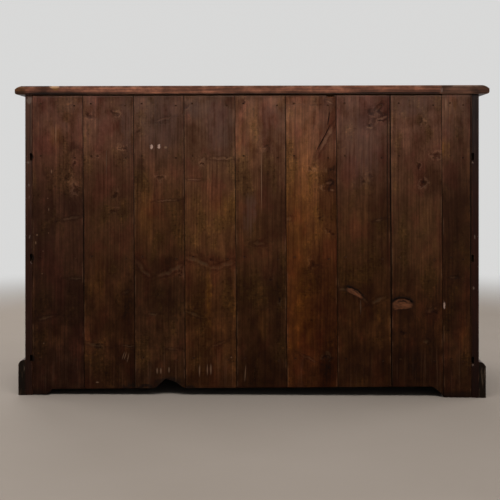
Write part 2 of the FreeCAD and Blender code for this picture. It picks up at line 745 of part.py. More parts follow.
def drawer(column):
    opening = OPENINGS[column]
    x = widened(opening, -DRAWER_GAP)
    inner = widened(x, -DRAWER_SIDE_THICKNESS)
    front_z = widened((DRAWER_BOARD[1], TOP_RAIL[0]), -DRAWER_GAP)
    side_z = (DRAWER_BOARD[1] + DRAWER_RUN_CLEARANCE, front_z[1] - DRAWER_SIDE_DROP)
    bottom_low = side_z[0] + DRAWER_BOTTOM_RAISE
    bottom_z = (bottom_low, bottom_low + DRAWER_BOTTOM_THICKNESS)
    back_z = (bottom_z[1], side_z[1] - DRAWER_BACK_DROP)
    front_back = FRONT + DRAWER_FRONT_THICKNESS
    end = FRONT + DRAWER_LENGTH
    back_y = (end - DRAWER_BACK_THICKNESS, end)
    front_tails = dovetails(side_z, front_back, FRONT + DOVETAIL_LAP)
    back_tails = dovetails(back_z, back_y[0], end)
    side_spans = [(x[0], inner[0]), (inner[1], x[1])]
    groove_z = widened(bottom_z, JOINT_FIT)

    sides = []
    sockets = []
    for span in side_spans:
        tails = [sideways(tail, span) for tail in front_tails + back_tails]
        sockets += tails
        body = block(span, (front_back, end), side_z)
        body = body.cut(block(span, back_y, (back_z[0], side_z[1])))
        side = joined(body, *tails)
        grooves = widened(inner, DRAWER_GROOVE_DEPTH)
        sides.append(side.cut(block(grooves, (front_back, end), groove_z)))

    groove_y = (front_back - DRAWER_GROOVE_DEPTH, front_back)
    front = block(x, (FRONT, front_back), front_z).cut(sockets + [block(inner, groove_y, groove_z)])
    back = block(x, back_y, back_z).cut(sockets)

    reach = DRAWER_GROOVE_DEPTH - JOINT_FIT
    bottom = joined(
        block(inner, (front_back - reach, front_back), bottom_z),
        block(widened(inner, reach), (front_back, end), bottom_z),
    )

    knobs = []
    bores = []
    for offset in (-DRAWER_KNOB_SPREAD / 2, DRAWER_KNOB_SPREAD / 2):
        place = (middle_of(x) + offset, middle_of(front_z))
        knobs.append(knob(*place, KNOB_SPIGOT_RADIUS, front_back))
        bores.append(stem_bore(*place, KNOB_SPIGOT_RADIUS + KNOB_SPIGOT_FIT, (FRONT, front_back)))

    name = COLUMNS[column] + "_drawer_"
    write(name + "front", front.cut(bores))
    write(name + "sides", *sides)
    write(name + "back", back)
    write(name + "bottom", bottom)
    write(name + "knobs", *knobs)


# Doors

def door(column):
    x = widened(OPENINGS[column], -DOOR_GAP)
    z = door_height()
    y = (FRONT, FRONT + DOOR_THICKNESS)
    middle_y = middle_of(y)
    axis_x, toward_door = hinge_axis(column)
    sight_x = widened(x, -DOOR_STILE_WIDTH)
    sight_z = (z[0] + DOOR_BOTTOM_RAIL_WIDTH, z[1] - DOOR_TOP_RAIL_WIDTH)
    tenon_y = widened((middle_y, middle_y), DOOR_GROOVE_WIDTH / 2)
    groove_y = widened(tenon_y, JOINT_FIT)
    groove = block(widened(sight_x, DOOR_GROOVE_DEPTH), groove_y, widened(sight_z, DOOR_GROOVE_DEPTH))
    chamfer = frustum(
        widened(sight_x, DOOR_CHAMFER),
        widened(sight_z, DOOR_CHAMFER),
        FRONT,
        FRONT + DOOR_CHAMFER,
        DOOR_CHAMFER,
    )

    tenon_x = widened(sight_x, DOOR_TENON_LENGTH)
    tenon_spans = [
        (z[0] + DOOR_TENON_SHOULDER, sight_z[0] - DOOR_GROOVE_DEPTH - JOINT_FIT),
        (sight_z[1] + DOOR_GROOVE_DEPTH + JOINT_FIT, z[1] - DOOR_TENON_SHOULDER),
    ]
    rails = []
    mortises = []
    for span, tenon_z in zip([(z[0], sight_z[0]), (sight_z[1], z[1])], tenon_spans):
        rail = joined(block(sight_x, y, span), block(tenon_x, tenon_y, tenon_z))
        rails.append(rail.cut([groove, chamfer]))
        mortises.append(block(widened(tenon_x, JOINT_FIT), groove_y, widened(tenon_z, JOINT_FIT)))

    latch_x = (x[1] if toward_door > 0 else x[0]) - toward_door * DOOR_STILE_WIDTH / 2
    latch_back = LATCH_FRONT + LATCH_THICKNESS
    cuts = [groove, chamfer] + mortises
    for span in hinge_spans():
        cuts += hinge_seat(axis_x, toward_door, span)
    cuts.append(stem_bore(latch_x, DOOR_KNOB_HEIGHT, SPINDLE_RADIUS + SPINDLE_FIT, y))
    stiles = [block(span, y, z).cut(cuts) for span in ((x[0], sight_x[0]), (sight_x[1], x[1]))]

    rim = DOOR_GROOVE_DEPTH - PANEL_PLAY
    field_y = tenon_y[0] - PANEL_BEVEL_RISE
    inside = widened(sight_x, -PANEL_BEVEL_WIDTH)
    field = (sight_z[0] + PANEL_BEVEL_WIDTH, sight_z[1] - PANEL_BEVEL_WIDTH)
    panel = joined(
        block(widened(sight_x, rim), tenon_y, widened(sight_z, rim)),
        frustum(sight_x, sight_z, tenon_y[0], field_y, PANEL_BEVEL_WIDTH),
        block(inside, (field_y - PANEL_FIELD_STEP, tenon_y[0]), field),
    )

    leaves = []
    for span in hinge_spans():
        leaves.append(hinge_leaf(axis_x, toward_door, span, knuckle_shares(span)[1]))
        leaves += slotted(hinge_screws(axis_x, toward_door, span), toward_door)

    tongue_y = (LATCH_FRONT, latch_back)
    reach = DOOR_STILE_WIDTH / 2 + DOOR_GAP + LATCH_HOLD
    tongue = block(
        widened((latch_x, latch_x), LATCH_WIDTH / 2),
        tongue_y,
        (DOOR_KNOB_HEIGHT - reach, DOOR_KNOB_HEIGHT + LATCH_TAIL),
    ).cut(stem_bore(latch_x, DOOR_KNOB_HEIGHT, SPINDLE_RADIUS + SPINDLE_FIT, tongue_y))

    name = COLUMNS[column] + "_door_"
    write(name + "stiles", *stiles)
    write(name + "rails", *rails)
    write(name + "panel", panel)
    write(name + "hinge_leaves", *leaves)
    write(name + "latch", knob(latch_x, DOOR_KNOB_HEIGHT, SPINDLE_RADIUS, latch_back), tongue)


# Every piece, written as its own file

os.makedirs("parts", exist_ok=True)

write("top", top_board())
write("left_side", side_board(-1))
write("right_side", side_board(1))
write("cupboard_floor", nailed(fronted_board(FLOOR).cut(post_mortises(DOOR_POST_TENONS[0]))))
write("shelf", nailed(housed_board(SHELF, (FRAME_BACK + SHELF_SETBACK, BACK_INNER))))
drawer_mortises = post_mortises(DOOR_POST_TENONS[1]) + post_mortises(DRAWER_POST_TENONS[0])
write("drawer_board", nailed(fronted_board(DRAWER_BOARD).cut(drawer_mortises)))
write("back_rail", nailed(housed_board(BACK_RAIL, BACK_RAIL_Y)))
write("top_rail", top_rail())
write("left_stile", stile(-1))
write("right_stile", stile(1))
write("door_posts", *posts((FLOOR[1], DRAWER_BOARD[0]), DOOR_POST_TENONS))
write("drawer_posts", *posts((DRAWER_BOARD[1], TOP_RAIL[0]), DRAWER_POST_TENONS))
write("drawer_guides", *drawer_guides())
write("drawer_stops", *drawer_stops())
write("front_plinth", front_plinth())
write("left_plinth", side_plinth(-1))
write("right_plinth", side_plinth(1))
write("glue_blocks", *glue_blocks())
for number, board in enumerate(back_boards(), 1):
    write("back_board_" + str(number), board)
write("back_nails", *NAILS)
write("frame_hinges", *FRAME_HINGES)
for column in range(len(COLUMNS)):
    drawer(column)
    door(column)
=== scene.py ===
# %% [markdown]
# This lesson dresses an old pine dresser base, seen from behind as it stands for a photograph.
# The joiner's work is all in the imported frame: sides, top, drawers, doors and the nine upright back boards.
# Blender adds what a century of use has left: eased edges, knots, splits, stain, dust and rust.

# %% Load the frame
import json
import math
import random

import bpy
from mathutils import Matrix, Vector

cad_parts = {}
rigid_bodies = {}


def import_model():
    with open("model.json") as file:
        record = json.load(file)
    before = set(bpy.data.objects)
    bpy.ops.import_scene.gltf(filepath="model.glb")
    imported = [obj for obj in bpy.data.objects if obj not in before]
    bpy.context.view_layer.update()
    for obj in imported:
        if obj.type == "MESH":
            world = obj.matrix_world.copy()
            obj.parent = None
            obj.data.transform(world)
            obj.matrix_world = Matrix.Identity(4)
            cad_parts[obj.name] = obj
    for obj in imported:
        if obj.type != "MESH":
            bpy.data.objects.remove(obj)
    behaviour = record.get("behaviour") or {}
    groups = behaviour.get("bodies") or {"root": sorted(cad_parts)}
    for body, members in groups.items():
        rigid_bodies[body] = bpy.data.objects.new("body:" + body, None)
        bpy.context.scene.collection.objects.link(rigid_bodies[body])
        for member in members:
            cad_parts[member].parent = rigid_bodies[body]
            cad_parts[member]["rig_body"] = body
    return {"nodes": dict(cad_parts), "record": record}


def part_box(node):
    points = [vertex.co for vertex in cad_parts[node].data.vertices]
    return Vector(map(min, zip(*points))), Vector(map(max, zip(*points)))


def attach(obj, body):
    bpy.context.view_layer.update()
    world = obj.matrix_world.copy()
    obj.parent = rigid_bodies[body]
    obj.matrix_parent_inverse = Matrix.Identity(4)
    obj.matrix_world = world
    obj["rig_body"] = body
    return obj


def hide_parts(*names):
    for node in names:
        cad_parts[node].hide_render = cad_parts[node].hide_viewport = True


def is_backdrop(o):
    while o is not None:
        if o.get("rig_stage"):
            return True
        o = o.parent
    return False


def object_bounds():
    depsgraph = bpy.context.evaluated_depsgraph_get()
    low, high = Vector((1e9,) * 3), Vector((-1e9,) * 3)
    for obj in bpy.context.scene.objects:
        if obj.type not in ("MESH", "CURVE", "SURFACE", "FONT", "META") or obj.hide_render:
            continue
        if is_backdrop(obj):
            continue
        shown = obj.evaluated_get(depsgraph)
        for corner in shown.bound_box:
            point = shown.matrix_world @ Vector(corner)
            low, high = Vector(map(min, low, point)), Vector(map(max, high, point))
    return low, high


bpy.ops.object.select_all(action="SELECT")
bpy.ops.object.delete()
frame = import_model()
cad_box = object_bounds()
nodes = frame["nodes"]
node_slots = {row["node"]: row["material_slot"] for row in frame["record"]["subparts"]}

# %% [markdown]
# The photograph was taken from low down and nearly square on, so the uprights stay parallel.
# A lens shift does what a view camera does: it keeps the camera level while the piece sits low in the frame.

# %% Camera
EYE = (-0.0592, 2.856, 0.675)
EYE_TURN = 181.347
LENS = 63.38
LENS_SHIFT = -0.164
bpy.ops.object.camera_add(location=EYE, rotation=(math.radians(90), 0, math.radians(EYE_TURN)))
camera = bpy.context.object
camera.name = "photo_camera"
camera.data.lens = LENS
camera.data.shift_y = LENS_SHIFT
bpy.context.scene.camera = camera
bpy.context.scene.view_settings.view_transform = "Standard"
print("camera stands", round(EYE[1] - cad_box[1].y, 2), "m behind the piece")

# %% [markdown]
# A finish is a tree of small nodes. These helpers add their nodes to the tree that was started last.
# They take either a fixed value or the output of another node for any input, so a finish reads as a list
# of layers.

# %% Small helpers for node trees
def new_tree(name):
    """Starts the tree of a new material, which the helpers then work on."""
    global tree
    material = bpy.data.materials.new(name)
    material.use_nodes = True
    tree = material.node_tree
    tree.nodes.clear()
    return material


def add_node(kind, inputs=None, **settings):
    made = tree.nodes.new(kind)
    for key, value in settings.items():
        setattr(made, key, value)
    for name, value in (inputs or {}).items():
        if isinstance(value, bpy.types.NodeSocket):
            tree.links.new(value, made.inputs[name])
        else:
            made.inputs[name].default_value = value
    return made


def maths(operation, *values):
    return add_node("ShaderNodeMath", dict(enumerate(values)), operation=operation).outputs[0]


def times(value, *others):
    """A value multiplied by each of the others."""
    for other in others:
        value = maths("MULTIPLY", value, other)
    return value


def total(start, *parts):
    """A start value, plus each part times its weight."""
    for value, weight in parts:
        start = maths("MULTIPLY_ADD", value, weight, start)
    return start


def vectors(operation, *values):
    made = add_node("ShaderNodeVectorMath", dict(enumerate(values)), operation=operation)
    return made.outputs["Value" if operation in ("LENGTH", "DOT_PRODUCT") else "Vector"]


def coordinates(vector):
    """The three numbers that make up a vector."""
    return add_node("ShaderNodeSeparateXYZ", {0: vector}).outputs


print("helpers for sums and vectors ready")

# %% [markdown]
# Most layers are soft steps: a value fades in or out, and one colour is laid over another by that much.
# Noise gives what no two places of old wood share. Every tree ends in one shader, whose sockets take
# either a plain number or the end of a chain of nodes.

# %% Helpers that fade, layer and end a tree
def fade(value, start, end, low=0.0, high=1.0):
    """A soft step from low to high while value goes from start to end."""
    limits = {"Value": value, "From Min": start, "From Max": end, "To Min": low, "To Max": high}
    return add_node("ShaderNodeMapRange", limits, interpolation_type="SMOOTHSTEP").outputs[0]


def layer(share, under, over, how="MIX"):
    """One colour laid over another by a share from 0 to 1."""
    inputs = {0: share, 6: under, 7: over}
    return add_node("ShaderNodeMix", inputs, data_type="RGBA", blend_type=how).outputs[2]


def noise(vector, scale, detail=3.0, roughness=0.55):
    inputs = {"Vector": vector, "Scale": scale, "Detail": detail, "Roughness": roughness}
    return add_node("ShaderNodeTexNoise", inputs).outputs


def object_place():
    """Where a point lies on its piece, which stays the same when the piece moves."""
    return add_node("ShaderNodeTexCoord").outputs["Object"]


def bump(relief, strength, distance):
    inputs = {"Height": relief, "Strength": strength, "Distance": distance}
    return add_node("ShaderNodeBump", inputs).outputs[0]


def surface(**inputs):
    """The shader that ends a tree; its inputs are fixed values or outputs of other nodes."""
    named = {name.replace("_", " "): value for name, value in inputs.items()}
    shader = add_node("ShaderNodeBsdfPrincipled", named)
    output = add_node("ShaderNodeOutputMaterial", {"Surface": shader.outputs[0]})
    return shader, output


print("helpers for layers ready")

# %% [markdown]
# The piece stands on a plain floor that runs out of sight. Near the piece it is an ordinary matt surface,
# so it keeps the shadow. Further off it goes over into the pale of the wall behind, as a paper sweep does,
# but only for what the camera, a gloss or a glass sees: it throws no more light on the wood.

# %% Floor
FLOOR_SIZE = 40
FLOOR_PALE = (0.245, 0.208, 0.176, 1)
FLOOR_MOTTLE = (0.231, 0.195, 0.163, 1)
WALL_PALE = (0.69, 0.69, 0.685, 1)
SWEEP_START = 1.6
SWEEP_END = 3.2


def seen_rays():
    """1 for rays that look at the background, 0 for rays that carry light to the wood."""
    path = add_node("ShaderNodeLightPath").outputs
    seen = maths("MAXIMUM", path["Is Camera Ray"], path["Is Glossy Ray"])
    return maths("MAXIMUM", seen, path["Is Transmission Ray"])


bpy.ops.mesh.primitive_plane_add(size=FLOOR_SIZE)
floor = bpy.context.object
floor.name = "studio_floor"
material = new_tree("pale_floor")
floor_place = object_place()
mottle = noise(floor_place, 1.3, 4.0)[0]
pale = layer(fade(mottle, 0.3, 0.7), FLOOR_PALE, FLOOR_MOTTLE)
matt, output = surface(Base_Color=pale, Roughness=0.85, Specular_IOR_Level=0.2)
sweep = add_node("ShaderNodeEmission", {"Color": WALL_PALE, "Strength": 1.0})
far = fade(vectors("LENGTH", floor_place), SWEEP_START, SWEEP_END)
far = times(far, seen_rays())
both = add_node("ShaderNodeMixShader", {0: far, 1: matt.outputs[0], 2: sweep.outputs[0]})
tree.links.new(both.outputs[0], output.inputs["Surface"])
floor.data.materials.append(material)
floor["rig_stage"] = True
print("floor made")

# %% [markdown]
# A wide soft lamp hangs above the camera's side, so the upper boards get more light than the lower ones.
# Others do the same for the doors and the two ends, and the sky is a plain even fill.

# %% Light
FILL = 0.20
LAMPS = {
    "lamp_over_back": ((0.0, 1.55, 2.05), (0.0, 0.25, 0.55), (3.2, 0.8), 64),
    "lamp_over_front": ((0.5, -1.9, 2.0), (0.0, -0.22, 0.45), (2.8, 1.0), 58),
    "lamp_by_left_end": ((-2.5, -0.5, 1.7), (-0.7, 0.0, 0.45), (1.4, 1.2), 26),
    "lamp_by_right_end": ((2.5, -0.5, 1.7), (0.7, 0.0, 0.45), (1.4, 1.2), 26),
}


def soft_lamp(name, place, target, size, power):
    aim = [t - p for t, p in zip(target, place)]
    tilt = math.atan2(math.hypot(aim[0], aim[1]), -aim[2])
    turn = math.atan2(aim[1], aim[0]) - math.radians(90)
    bpy.ops.object.light_add(type="AREA", location=place, rotation=(tilt, 0, turn))
    lamp = bpy.context.object
    lamp.name = name
    lamp.data.shape = "RECTANGLE"
    lamp.data.size, lamp.data.size_y = size
    lamp.data.energy = power


for name, lamp_row in LAMPS.items():
    soft_lamp(name, *lamp_row)
world = bpy.context.scene.world or bpy.data.worlds.new("studio")
bpy.context.scene.world = world
world.use_nodes = True
tree = world.node_tree
tree.nodes.clear()
fill = add_node("ShaderNodeBackground", {"Color": (1, 1, 1, 1), "Strength": FILL})
wall = add_node("ShaderNodeBackground", {"Color": WALL_PALE, "Strength": 1.0})
mixed = add_node("ShaderNodeMixShader", {0: seen_rays(), 1: fill.outputs[0], 2: wall.outputs[0]})
add_node("ShaderNodeOutputWorld", {"Surface": mixed.outputs[0]})
print("lamps:", len(LAMPS), "and a plain sky")

# %% [markdown]
# Streaks, threads, blotches and fibres are noise stretched along the grain, each kind by its own amount.
# Marks on the wood get ragged outlines when the place that is asked about wavers a little: each kind of mark
# has a reach in metres and a fineness.

# %% Along the grain
STRETCH = {
    "streak": ((48, 48, 2.4), 4.0),
    "thread": ((240, 240, 5.0), 3.0),
    "blotch": ((9, 9, 4.5), 3.0),
    "cloud": ((34, 34, 22), 4.0),
    "fleck": ((150, 150, 100), 3.0),
    "fibre": ((620, 620, 16), 2.0),
    "tint": ((15, 15, 8), 4.0),
    "scuff": ((60, 60, 330), 3.0),
}
WAVER = {
    "broad": ((0.045, 0, 0.050), 38.0),
    "fine": ((0.016, 0, 0.018), 130.0),
    "spikes": ((0.014, 0, 0.016), 70.0),
    "bands": ((0.012, 0, 0.02), 9.0),
    "pockets": ((0.008, 0, 0.007), 105.0),
    "seams": ((0.003, 0, 0.004), 120.0),
    "paint": ((0.008, 0, 0.006), 190.0),
    "chips": ((0.010, 0, 0.012), 140.0),
    "top spots": ((0.004, 0.002, 0.003), 160.0),
}
HALF = (0.5, 0.5, 0.5)


def grain_space(axis, shift):
    """Object coordinates, and the same with the grain along their third direction."""
    place = object_place()
    x, y, z = coordinates(place)
    order = {"X": (y, z, x), "Y": (x, z, y), "Z": (x, y, z)}[axis]
    turned = add_node("ShaderNodeCombineXYZ", dict(enumerate(order))).outputs[0]
    return place, vectors("ADD", turned, shift)


def stretched(vector, stretch, detail=3.0):
    """Noise that runs on furthest where the stretch is smallest."""
    return noise(vectors("MULTIPLY", vector, stretch), 1.0, detail, 0.6)[0]


def wavering(place, kind):
    """A place moved a little to and fro, so that marks get ragged outlines."""
    reach, fineness = WAVER[kind]
    push = noise(place, fineness, 3.0, 0.6)["Color"]
    push = vectors("SUBTRACT", push, HALF)
    return vectors("ADD", place, vectors("MULTIPLY", push, reach))


print("kinds of grain:", ", ".join(STRETCH))

# %% [markdown]
# Pine shows growth rings that widen into arches where the saw ran close to the heart of the tree.
# Here the rings are circles round a heart line that wanders a little along the grain, cut by the face.
# A picture of wood would repeat and would stretch on the edges; rings in space meet at every corner.

# %% Wood grain
RING_SHAPE = ((0.0, 0.0), (0.5, 0.22), (0.86, 1.0), (1.0, 0.05))
RING_DRIFT = (3.0, 3.0, 1.5)
RING_WANDER = (0.05, 0.05, 0)
RING_RUN = (1, 1, 0.014)


def ring_lines(space, heart, ring_width, swirl):
    """Growth rings round the heart line, each with a slow rise and a sharp end."""
    slow = noise(vectors("MULTIPLY", space, RING_DRIFT), 1.0)["Color"]
    drift = vectors("MULTIPLY", vectors("SUBTRACT", slow, HALF), RING_WANDER)
    away = vectors("SUBTRACT", vectors("ADD", space, drift), heart)
    radius = vectors("LENGTH", vectors("MULTIPLY", away, RING_RUN))
    count = maths("ADD", maths("DIVIDE", radius, ring_width), swirl)
    ramp = add_node("ShaderNodeValToRGB", {"Fac": maths("FRACT", count)})
    stops = ramp.color_ramp.elements
    while len(stops) < len(RING_SHAPE):
        stops.new(0.5)
    for stop, (place, value) in zip(stops, RING_SHAPE):
        stop.position = place
        stop.color = (value, value, value, 1)
    return ramp.outputs[0]


def grain(space, heart, ring_width, swirl=0.0):
    """Rings, and each kind of stretched noise, all from 0 to 1."""
    found = {"rings": ring_lines(space, heart, ring_width, swirl)}
    for kind, (stretch, detail) in STRETCH.items():
        found[kind] = stretched(space, stretch, detail)
    return found


def weighed(start, found, weights):
    """A start value, plus some kinds of grain, each times its weight."""
    return total(start, *((found[kind], weight) for kind, weight in weights.items()))


def by_stops(colour, stops):
    """A colour doubled for each stop up, and halved for each stop down."""
    return layer(1.0, colour, maths("POWER", 2.0, stops), "MULTIPLY")


print("a ring's shape has", len(RING_SHAPE), "points")

# %% [markdown]
# Knots, stains, scratches and paint spots are marks at known places on a board. Each is an ellipse, and the
# finish asks how far a point is from the nearest one, counted in that ellipse's own half sizes.
# The places are in millimetres: along the piece from its middle, then up from the floor. A lean in degrees
# turns a mark clockwise as it is seen from behind.

# %% Marks on a board
MM = 0.001
MARK_PLANE = 0.255


def seen_from(place, middle, half_sizes, lean=0):
    """A place as seen from a mark's middle, counted in the mark's half sizes."""
    turn = (0, -math.radians(lean), 0)
    inputs = {"Vector": place, "Location": middle, "Rotation": turn, "Scale": half_sizes}
    return add_node("ShaderNodeMapping", inputs, vector_type="TEXTURE").outputs[0]


def within(place, mark):
    """A place as seen from a row of one of the tables of marks."""
    x, z, half_x, half_z, *lean = mark
    return seen_from(place, (x * MM, MARK_PLANE, z * MM), (half_x * MM, 1.0, half_z * MM), *lean)


def nearest(place, marks, square=False):
    """How far the surface is from the nearest mark: 0 in its middle, 1 on its edge."""
    found = None
    for mark in marks:
        local = within(place, mark)
        away = vectors("LENGTH", local)
        if square:
            sides = coordinates(vectors("ABSOLUTE", local))
            away = maths("MAXIMUM", sides[0], sides[2])
        found = away if found is None else maths("MINIMUM", found, away)
    return found


def ring(away, inner, crest, outer):
    """1 at the crest distance from a mark, falling to 0 at the inner and outer ones."""
    return times(fade(away, inner, crest), fade(away, outer, crest))


def over_marks(colour, place, marks, span, most, over, where=None, how="MIX"):
    """A colour laid over marks: none at the first distance of the span, most at the second."""
    if not marks:
        return colour
    share = fade(nearest(place, marks), *span, 0.0, most)
    if where is not None:
        share = times(share, where)
    return layer(share, colour, over, how)


print("a mark is an ellipse with a place, two half sizes and a lean")

# %% [markdown]
# No two boards came from one tree, so each has its own stain colour near its head, in its middle and near its
# foot. Lighter heads and darker feet are partly dirt and partly painted light: the fall of the lamp's light
# from head to foot is painted into these colours too.

# %% Colours of the nine boards
def stain(red, green=0.36, blue=0.125):
    """A stain colour from its red, and the shares of green and blue in it."""
    return (red, red * green, red * blue, 1)


BOARD_TONES = {
    1: (stain(0.057, 0.36, 0.185), stain(0.0275, 0.36, 0.17), stain(0.0225, 0.34, 0.14)),
    2: (stain(0.064, 0.39, 0.20), stain(0.038, 0.37, 0.145), stain(0.031, 0.335, 0.11)),
    3: (stain(0.049, 0.41, 0.21), stain(0.041, 0.36, 0.12), stain(0.0285, 0.365, 0.13)),
    4: (stain(0.063, 0.43, 0.215), stain(0.057, 0.37, 0.13), stain(0.040, 0.34, 0.10)),
    5: (stain(0.080, 0.40, 0.19), stain(0.043, 0.37, 0.13), stain(0.0295, 0.35, 0.11)),
    6: (stain(0.090, 0.375, 0.17), stain(0.064, 0.33, 0.090), stain(0.0415, 0.27, 0.06)),
    7: (stain(0.064, 0.40, 0.22), stain(0.041, 0.37, 0.125), stain(0.032, 0.33, 0.085)),
    8: (stain(0.065, 0.395, 0.205), stain(0.040, 0.40, 0.15), stain(0.024, 0.32, 0.09)),
    9: (stain(0.046, 0.40, 0.19), stain(0.0265, 0.35, 0.12), stain(0.027, 0.34, 0.11)),
}
print("colours for", len(BOARD_TONES), "boards")

# %% [markdown]
# The marks were read off the boards one by one. Knots are dark at heart with a paler crescent round them.
# Spikes are knots cut along their length, and show as pale slivers. Bands are heartwood, with a plain edge
# along the grain, and say by how many stops they are darker. Pockets are places where a knot was torn out,
# with a depth in millimetres. Dirt is where mops and brooms left the broken foot of a board black, and seams
# are joints packed with it. The glow is the brightest of the warm places. The rest are worn, stained or
# spotted places, save two shaded marks along the upper lips of torn pockets, which are painted shade.

# %% Where the marks are
KNOTS = {
    1: [(544, 648, 7, 9), (522, 612, 9, 15), (528, 684, 8, 6)],
    2: [(484, 832, 10, 8), (402, 838, 9, 7), (454, 715, 8, 6), (379, 735, 8, 7), (402, 599, 7, 6),
        (408, 549, 9, 6), (452, 146, 11, 6, 8)],
    3: [(266, 812, 13, 5, -8), (332, 788, 10, 6, -10), (266, 648, 9, 7), (206, 366, 8, 5, -20),
        (272, 306, 6, 7)],
    4: [(187, 861, 10, 7), (140, 690, 4, 8), (116, 404, 7, 7)],
    5: [(16, 871, 6, 12), (-45, 735, 10, 9), (-66, 352, 7, 8), (-82, 286, 6, 8)],
    6: [(-238, 671, 12, 8), (-236, 636, 10, 10), (-230, 612, 12, 7), (-179, 671, 8, 5), (-208, 530, 6, 5),
        (-240, 487, 11, 6, 10), (-187, 390, 14, 9), (-220, 118, 9, 8)],
    7: [(-379, 840, 13, 10), (-357, 839, 9, 8), (-389, 814, 14, 5, -18), (-352, 801, 8, 9),
        (-327, 635, 8, 9), (-352, 652, 9, 8)],
    8: [(-504, 810, 6, 9), (-508, 627, 9, 11), (-490, 680, 6, 6), (-545, 713, 15, 9, -20),
        (-540, 250, 12, 8), (-452, 193, 9, 6)],
    9: [(-606, 354, 9, 6)],
}
SPIKES = {
    1: [(534, 526, 24, 3.5, -10), (520, 347, 18, 3, 2), (610, 230, 20, 3.5, -14)],
    2: [(370, 307, 9, 3, -20), (462, 150, 26, 3.5, 12), (362, 147, 22, 2.2)],
    3: [(331, 390, 18, 5.5, 55), (311, 364, 16, 5.5, 34), (255, 362, 22, 5.5, -16),
        (222, 378, 22, 5.5, -27), (247, 579, 28, 2.2, -4), (230, 139, 15, 2.5), (290, 242, 14, 2.5, -4),
        (258, 820, 22, 3, -16)],
    4: [(175, 406, 20, 6, 12), (142, 393, 22, 6, 28), (101, 381, 20, 5.5, -6), (66, 393, 20, 6, -15),
        (83, 704, 30, 4, 0), (168, 641, 18, 3, 2), (168, 242, 26, 3.5, 18), (94, 155, 18, 3, -22)],
    5: [(-24, 452, 14, 5)],
    6: [(-170, 115, 26, 2.5, 26), (-126, 862, 48, 1.0), (-112, 525, 8, 6), (-223, 762, 4.5, 47, 28),
        (-233, 868, 10, 3, 30), (-232, 632, 10, 4, -12), (-240, 610, 9, 3.5, 18)],
    7: [(-376, 851, 11, 4.5, -50), (-389, 823, 18, 3.5, -14), (-352, 793, 9, 3.5, 10),
        (-274, 319, 17, 4, -8), (-336, 287, 14, 3.5, 42), (-376, 286, 20, 4.5, -26),
        (-378, 522, 12, 2.5, -10)],
    8: [(-532, 258, 18, 5, -24), (-516, 166, 8, 5)],
    9: [(-598, 354, 10, 3, -6)],
}
SCRATCHES = {
    1: [(579, 778, 1.5, 28), (592, 665, 1.9, 6), (603, 585, 1.6, 1.6), (600, 552, 1.2, 5),
        (635, 476, 2.6, 3), (601, 482, 1.4, 1.6), (639, 453, 2.2, 4.5), (617, 428, 1.6, 1.4),
        (620, 361, 1.8, 1.6), (615, 154, 1.8, 1.5)],
    2: [(428, 690, 1.2, 38), (378, 118, 1.2, 12, 18), (372, 118, 1.2, 12, 18), (364, 112, 1.2, 14, 12),
        (455, 39, 5, 2.2)],
    3: [(277, 74, 2.6, 9), (266, 74, 2.6, 9), (242, 77, 2.2, 9), (252, 736, 5.0, 3.8)],
    4: [(151.5, 75, 2.0, 17), (128, 78, 2.0, 16), (118, 79, 2.6, 16), (57, 115, 2.5, 2.5)],
    5: [(16, 68, 1.6, 24, 4), (-32, 640, 1.2, 90)],
    7: [(-324, 266, 1.6, 19)],
    8: [(-414.5, 120, 1.0, 130)],
    9: [(-574, 862, 2.4, 22)],
}
PAINT = {
    3: [(294, 738, 3.9, 7.5), (272, 739, 3.8, 8.0)],
    9: [(-569.5, 271, 3.0, 11)],
}
WARM = {
    1: [(577, 768, 20, 40), (588, 182, 30, 40)],
    2: [(380, 568, 10, 14), (452, 330, 22, 90)],
    3: [(310, 560, 24, 100)],
    4: [(72, 560, 46, 38), (124, 300, 9, 84)],
    5: [(10, 770, 32, 90), (-36, 210, 20, 44)],
    6: [(-138, 560, 42, 300), (-150, 240, 40, 120), (-131, 152, 28, 20)],
    9: [(-590, 856, 24, 46), (-570, 732, 12, 36), (-569, 264, 13, 24), (-624, 184, 17, 44)],
}
GLOW = {
    4: [(128, 262, 15, 95)],
    9: [(-571, 732, 11, 30)],
}
GREY = {
    2: [(366, 800, 16, 110)],
    3: [(270, 800, 62, 90)],
    4: [(90, 790, 38, 80), (150, 850, 56, 26)],
    5: [(2, 540, 20, 66)],
    7: [(-330, 740, 56, 120)],
    8: [(-480, 860, 66, 34)],
}
SHADE = {
    1: [(530, 570, 40, 46), (520, 240, 30, 110), (524, 736, 22, 14)],
    2: [(364, 270, 14, 90)],
    3: [(243, 262, 28, 42), (272, 388, 36, 24), (243, 400, 28, 13, -22), (324, 670, 15, 60)],
    4: [(178, 850, 28, 26), (62, 320, 12, 60), (150, 418, 36, 11, 22), (112, 404, 30, 20)],
    5: [(-74, 300, 24, 190), (-20, 906, 75, 26)],
    6: [(-196, 366, 26, 80), (-226, 110, 26, 60), (-238, 652, 20, 42)],
    # The marks (-300, 325) on board 7 and (-447, 296) on board 8 are painted shade along the upper lips of
    # the torn pockets.
    7: [(-360, 830, 38, 38), (-320, 110, 60, 70), (-300, 325, 28, 5, 28)],
    8: [(-470, 110, 60, 90), (-526, 135, 32, 80), (-520, 640, 38, 56), (-447, 296, 30, 6, 4),
        (-484, 906, 75, 26)],
    9: [(-606, 560, 36, 160)],
}
POCKETS = {
    6: [(-235, 886, 11, 4, 0, 6.0)],
    7: [(-308, 308, 27, 8.5, 32, 3.5)],
    8: [(-447, 276, 30, 17, 2, 3.8)],
}
DIRT = {
    2: [(350, 30, 40, 7)],
    3: [(250, 36, 44, 20), (310, 26, 40, 7)],
    4: [(180, 28, 24, 8)],
}
SEAMS = {
    1: [(646.5, 109, 3.6, 10), (647.0, 408, 3.0, 10), (647.5, 708, 2.0, 7)],
    2: [(495.2, 410, 1.9, 185)],
    7: [(-402.5, 660, 1.5, 240)],
    8: [(-410.0, 640, 2.3, 270)],
    9: [(-646.5, 560, 2.3, 400)],
}
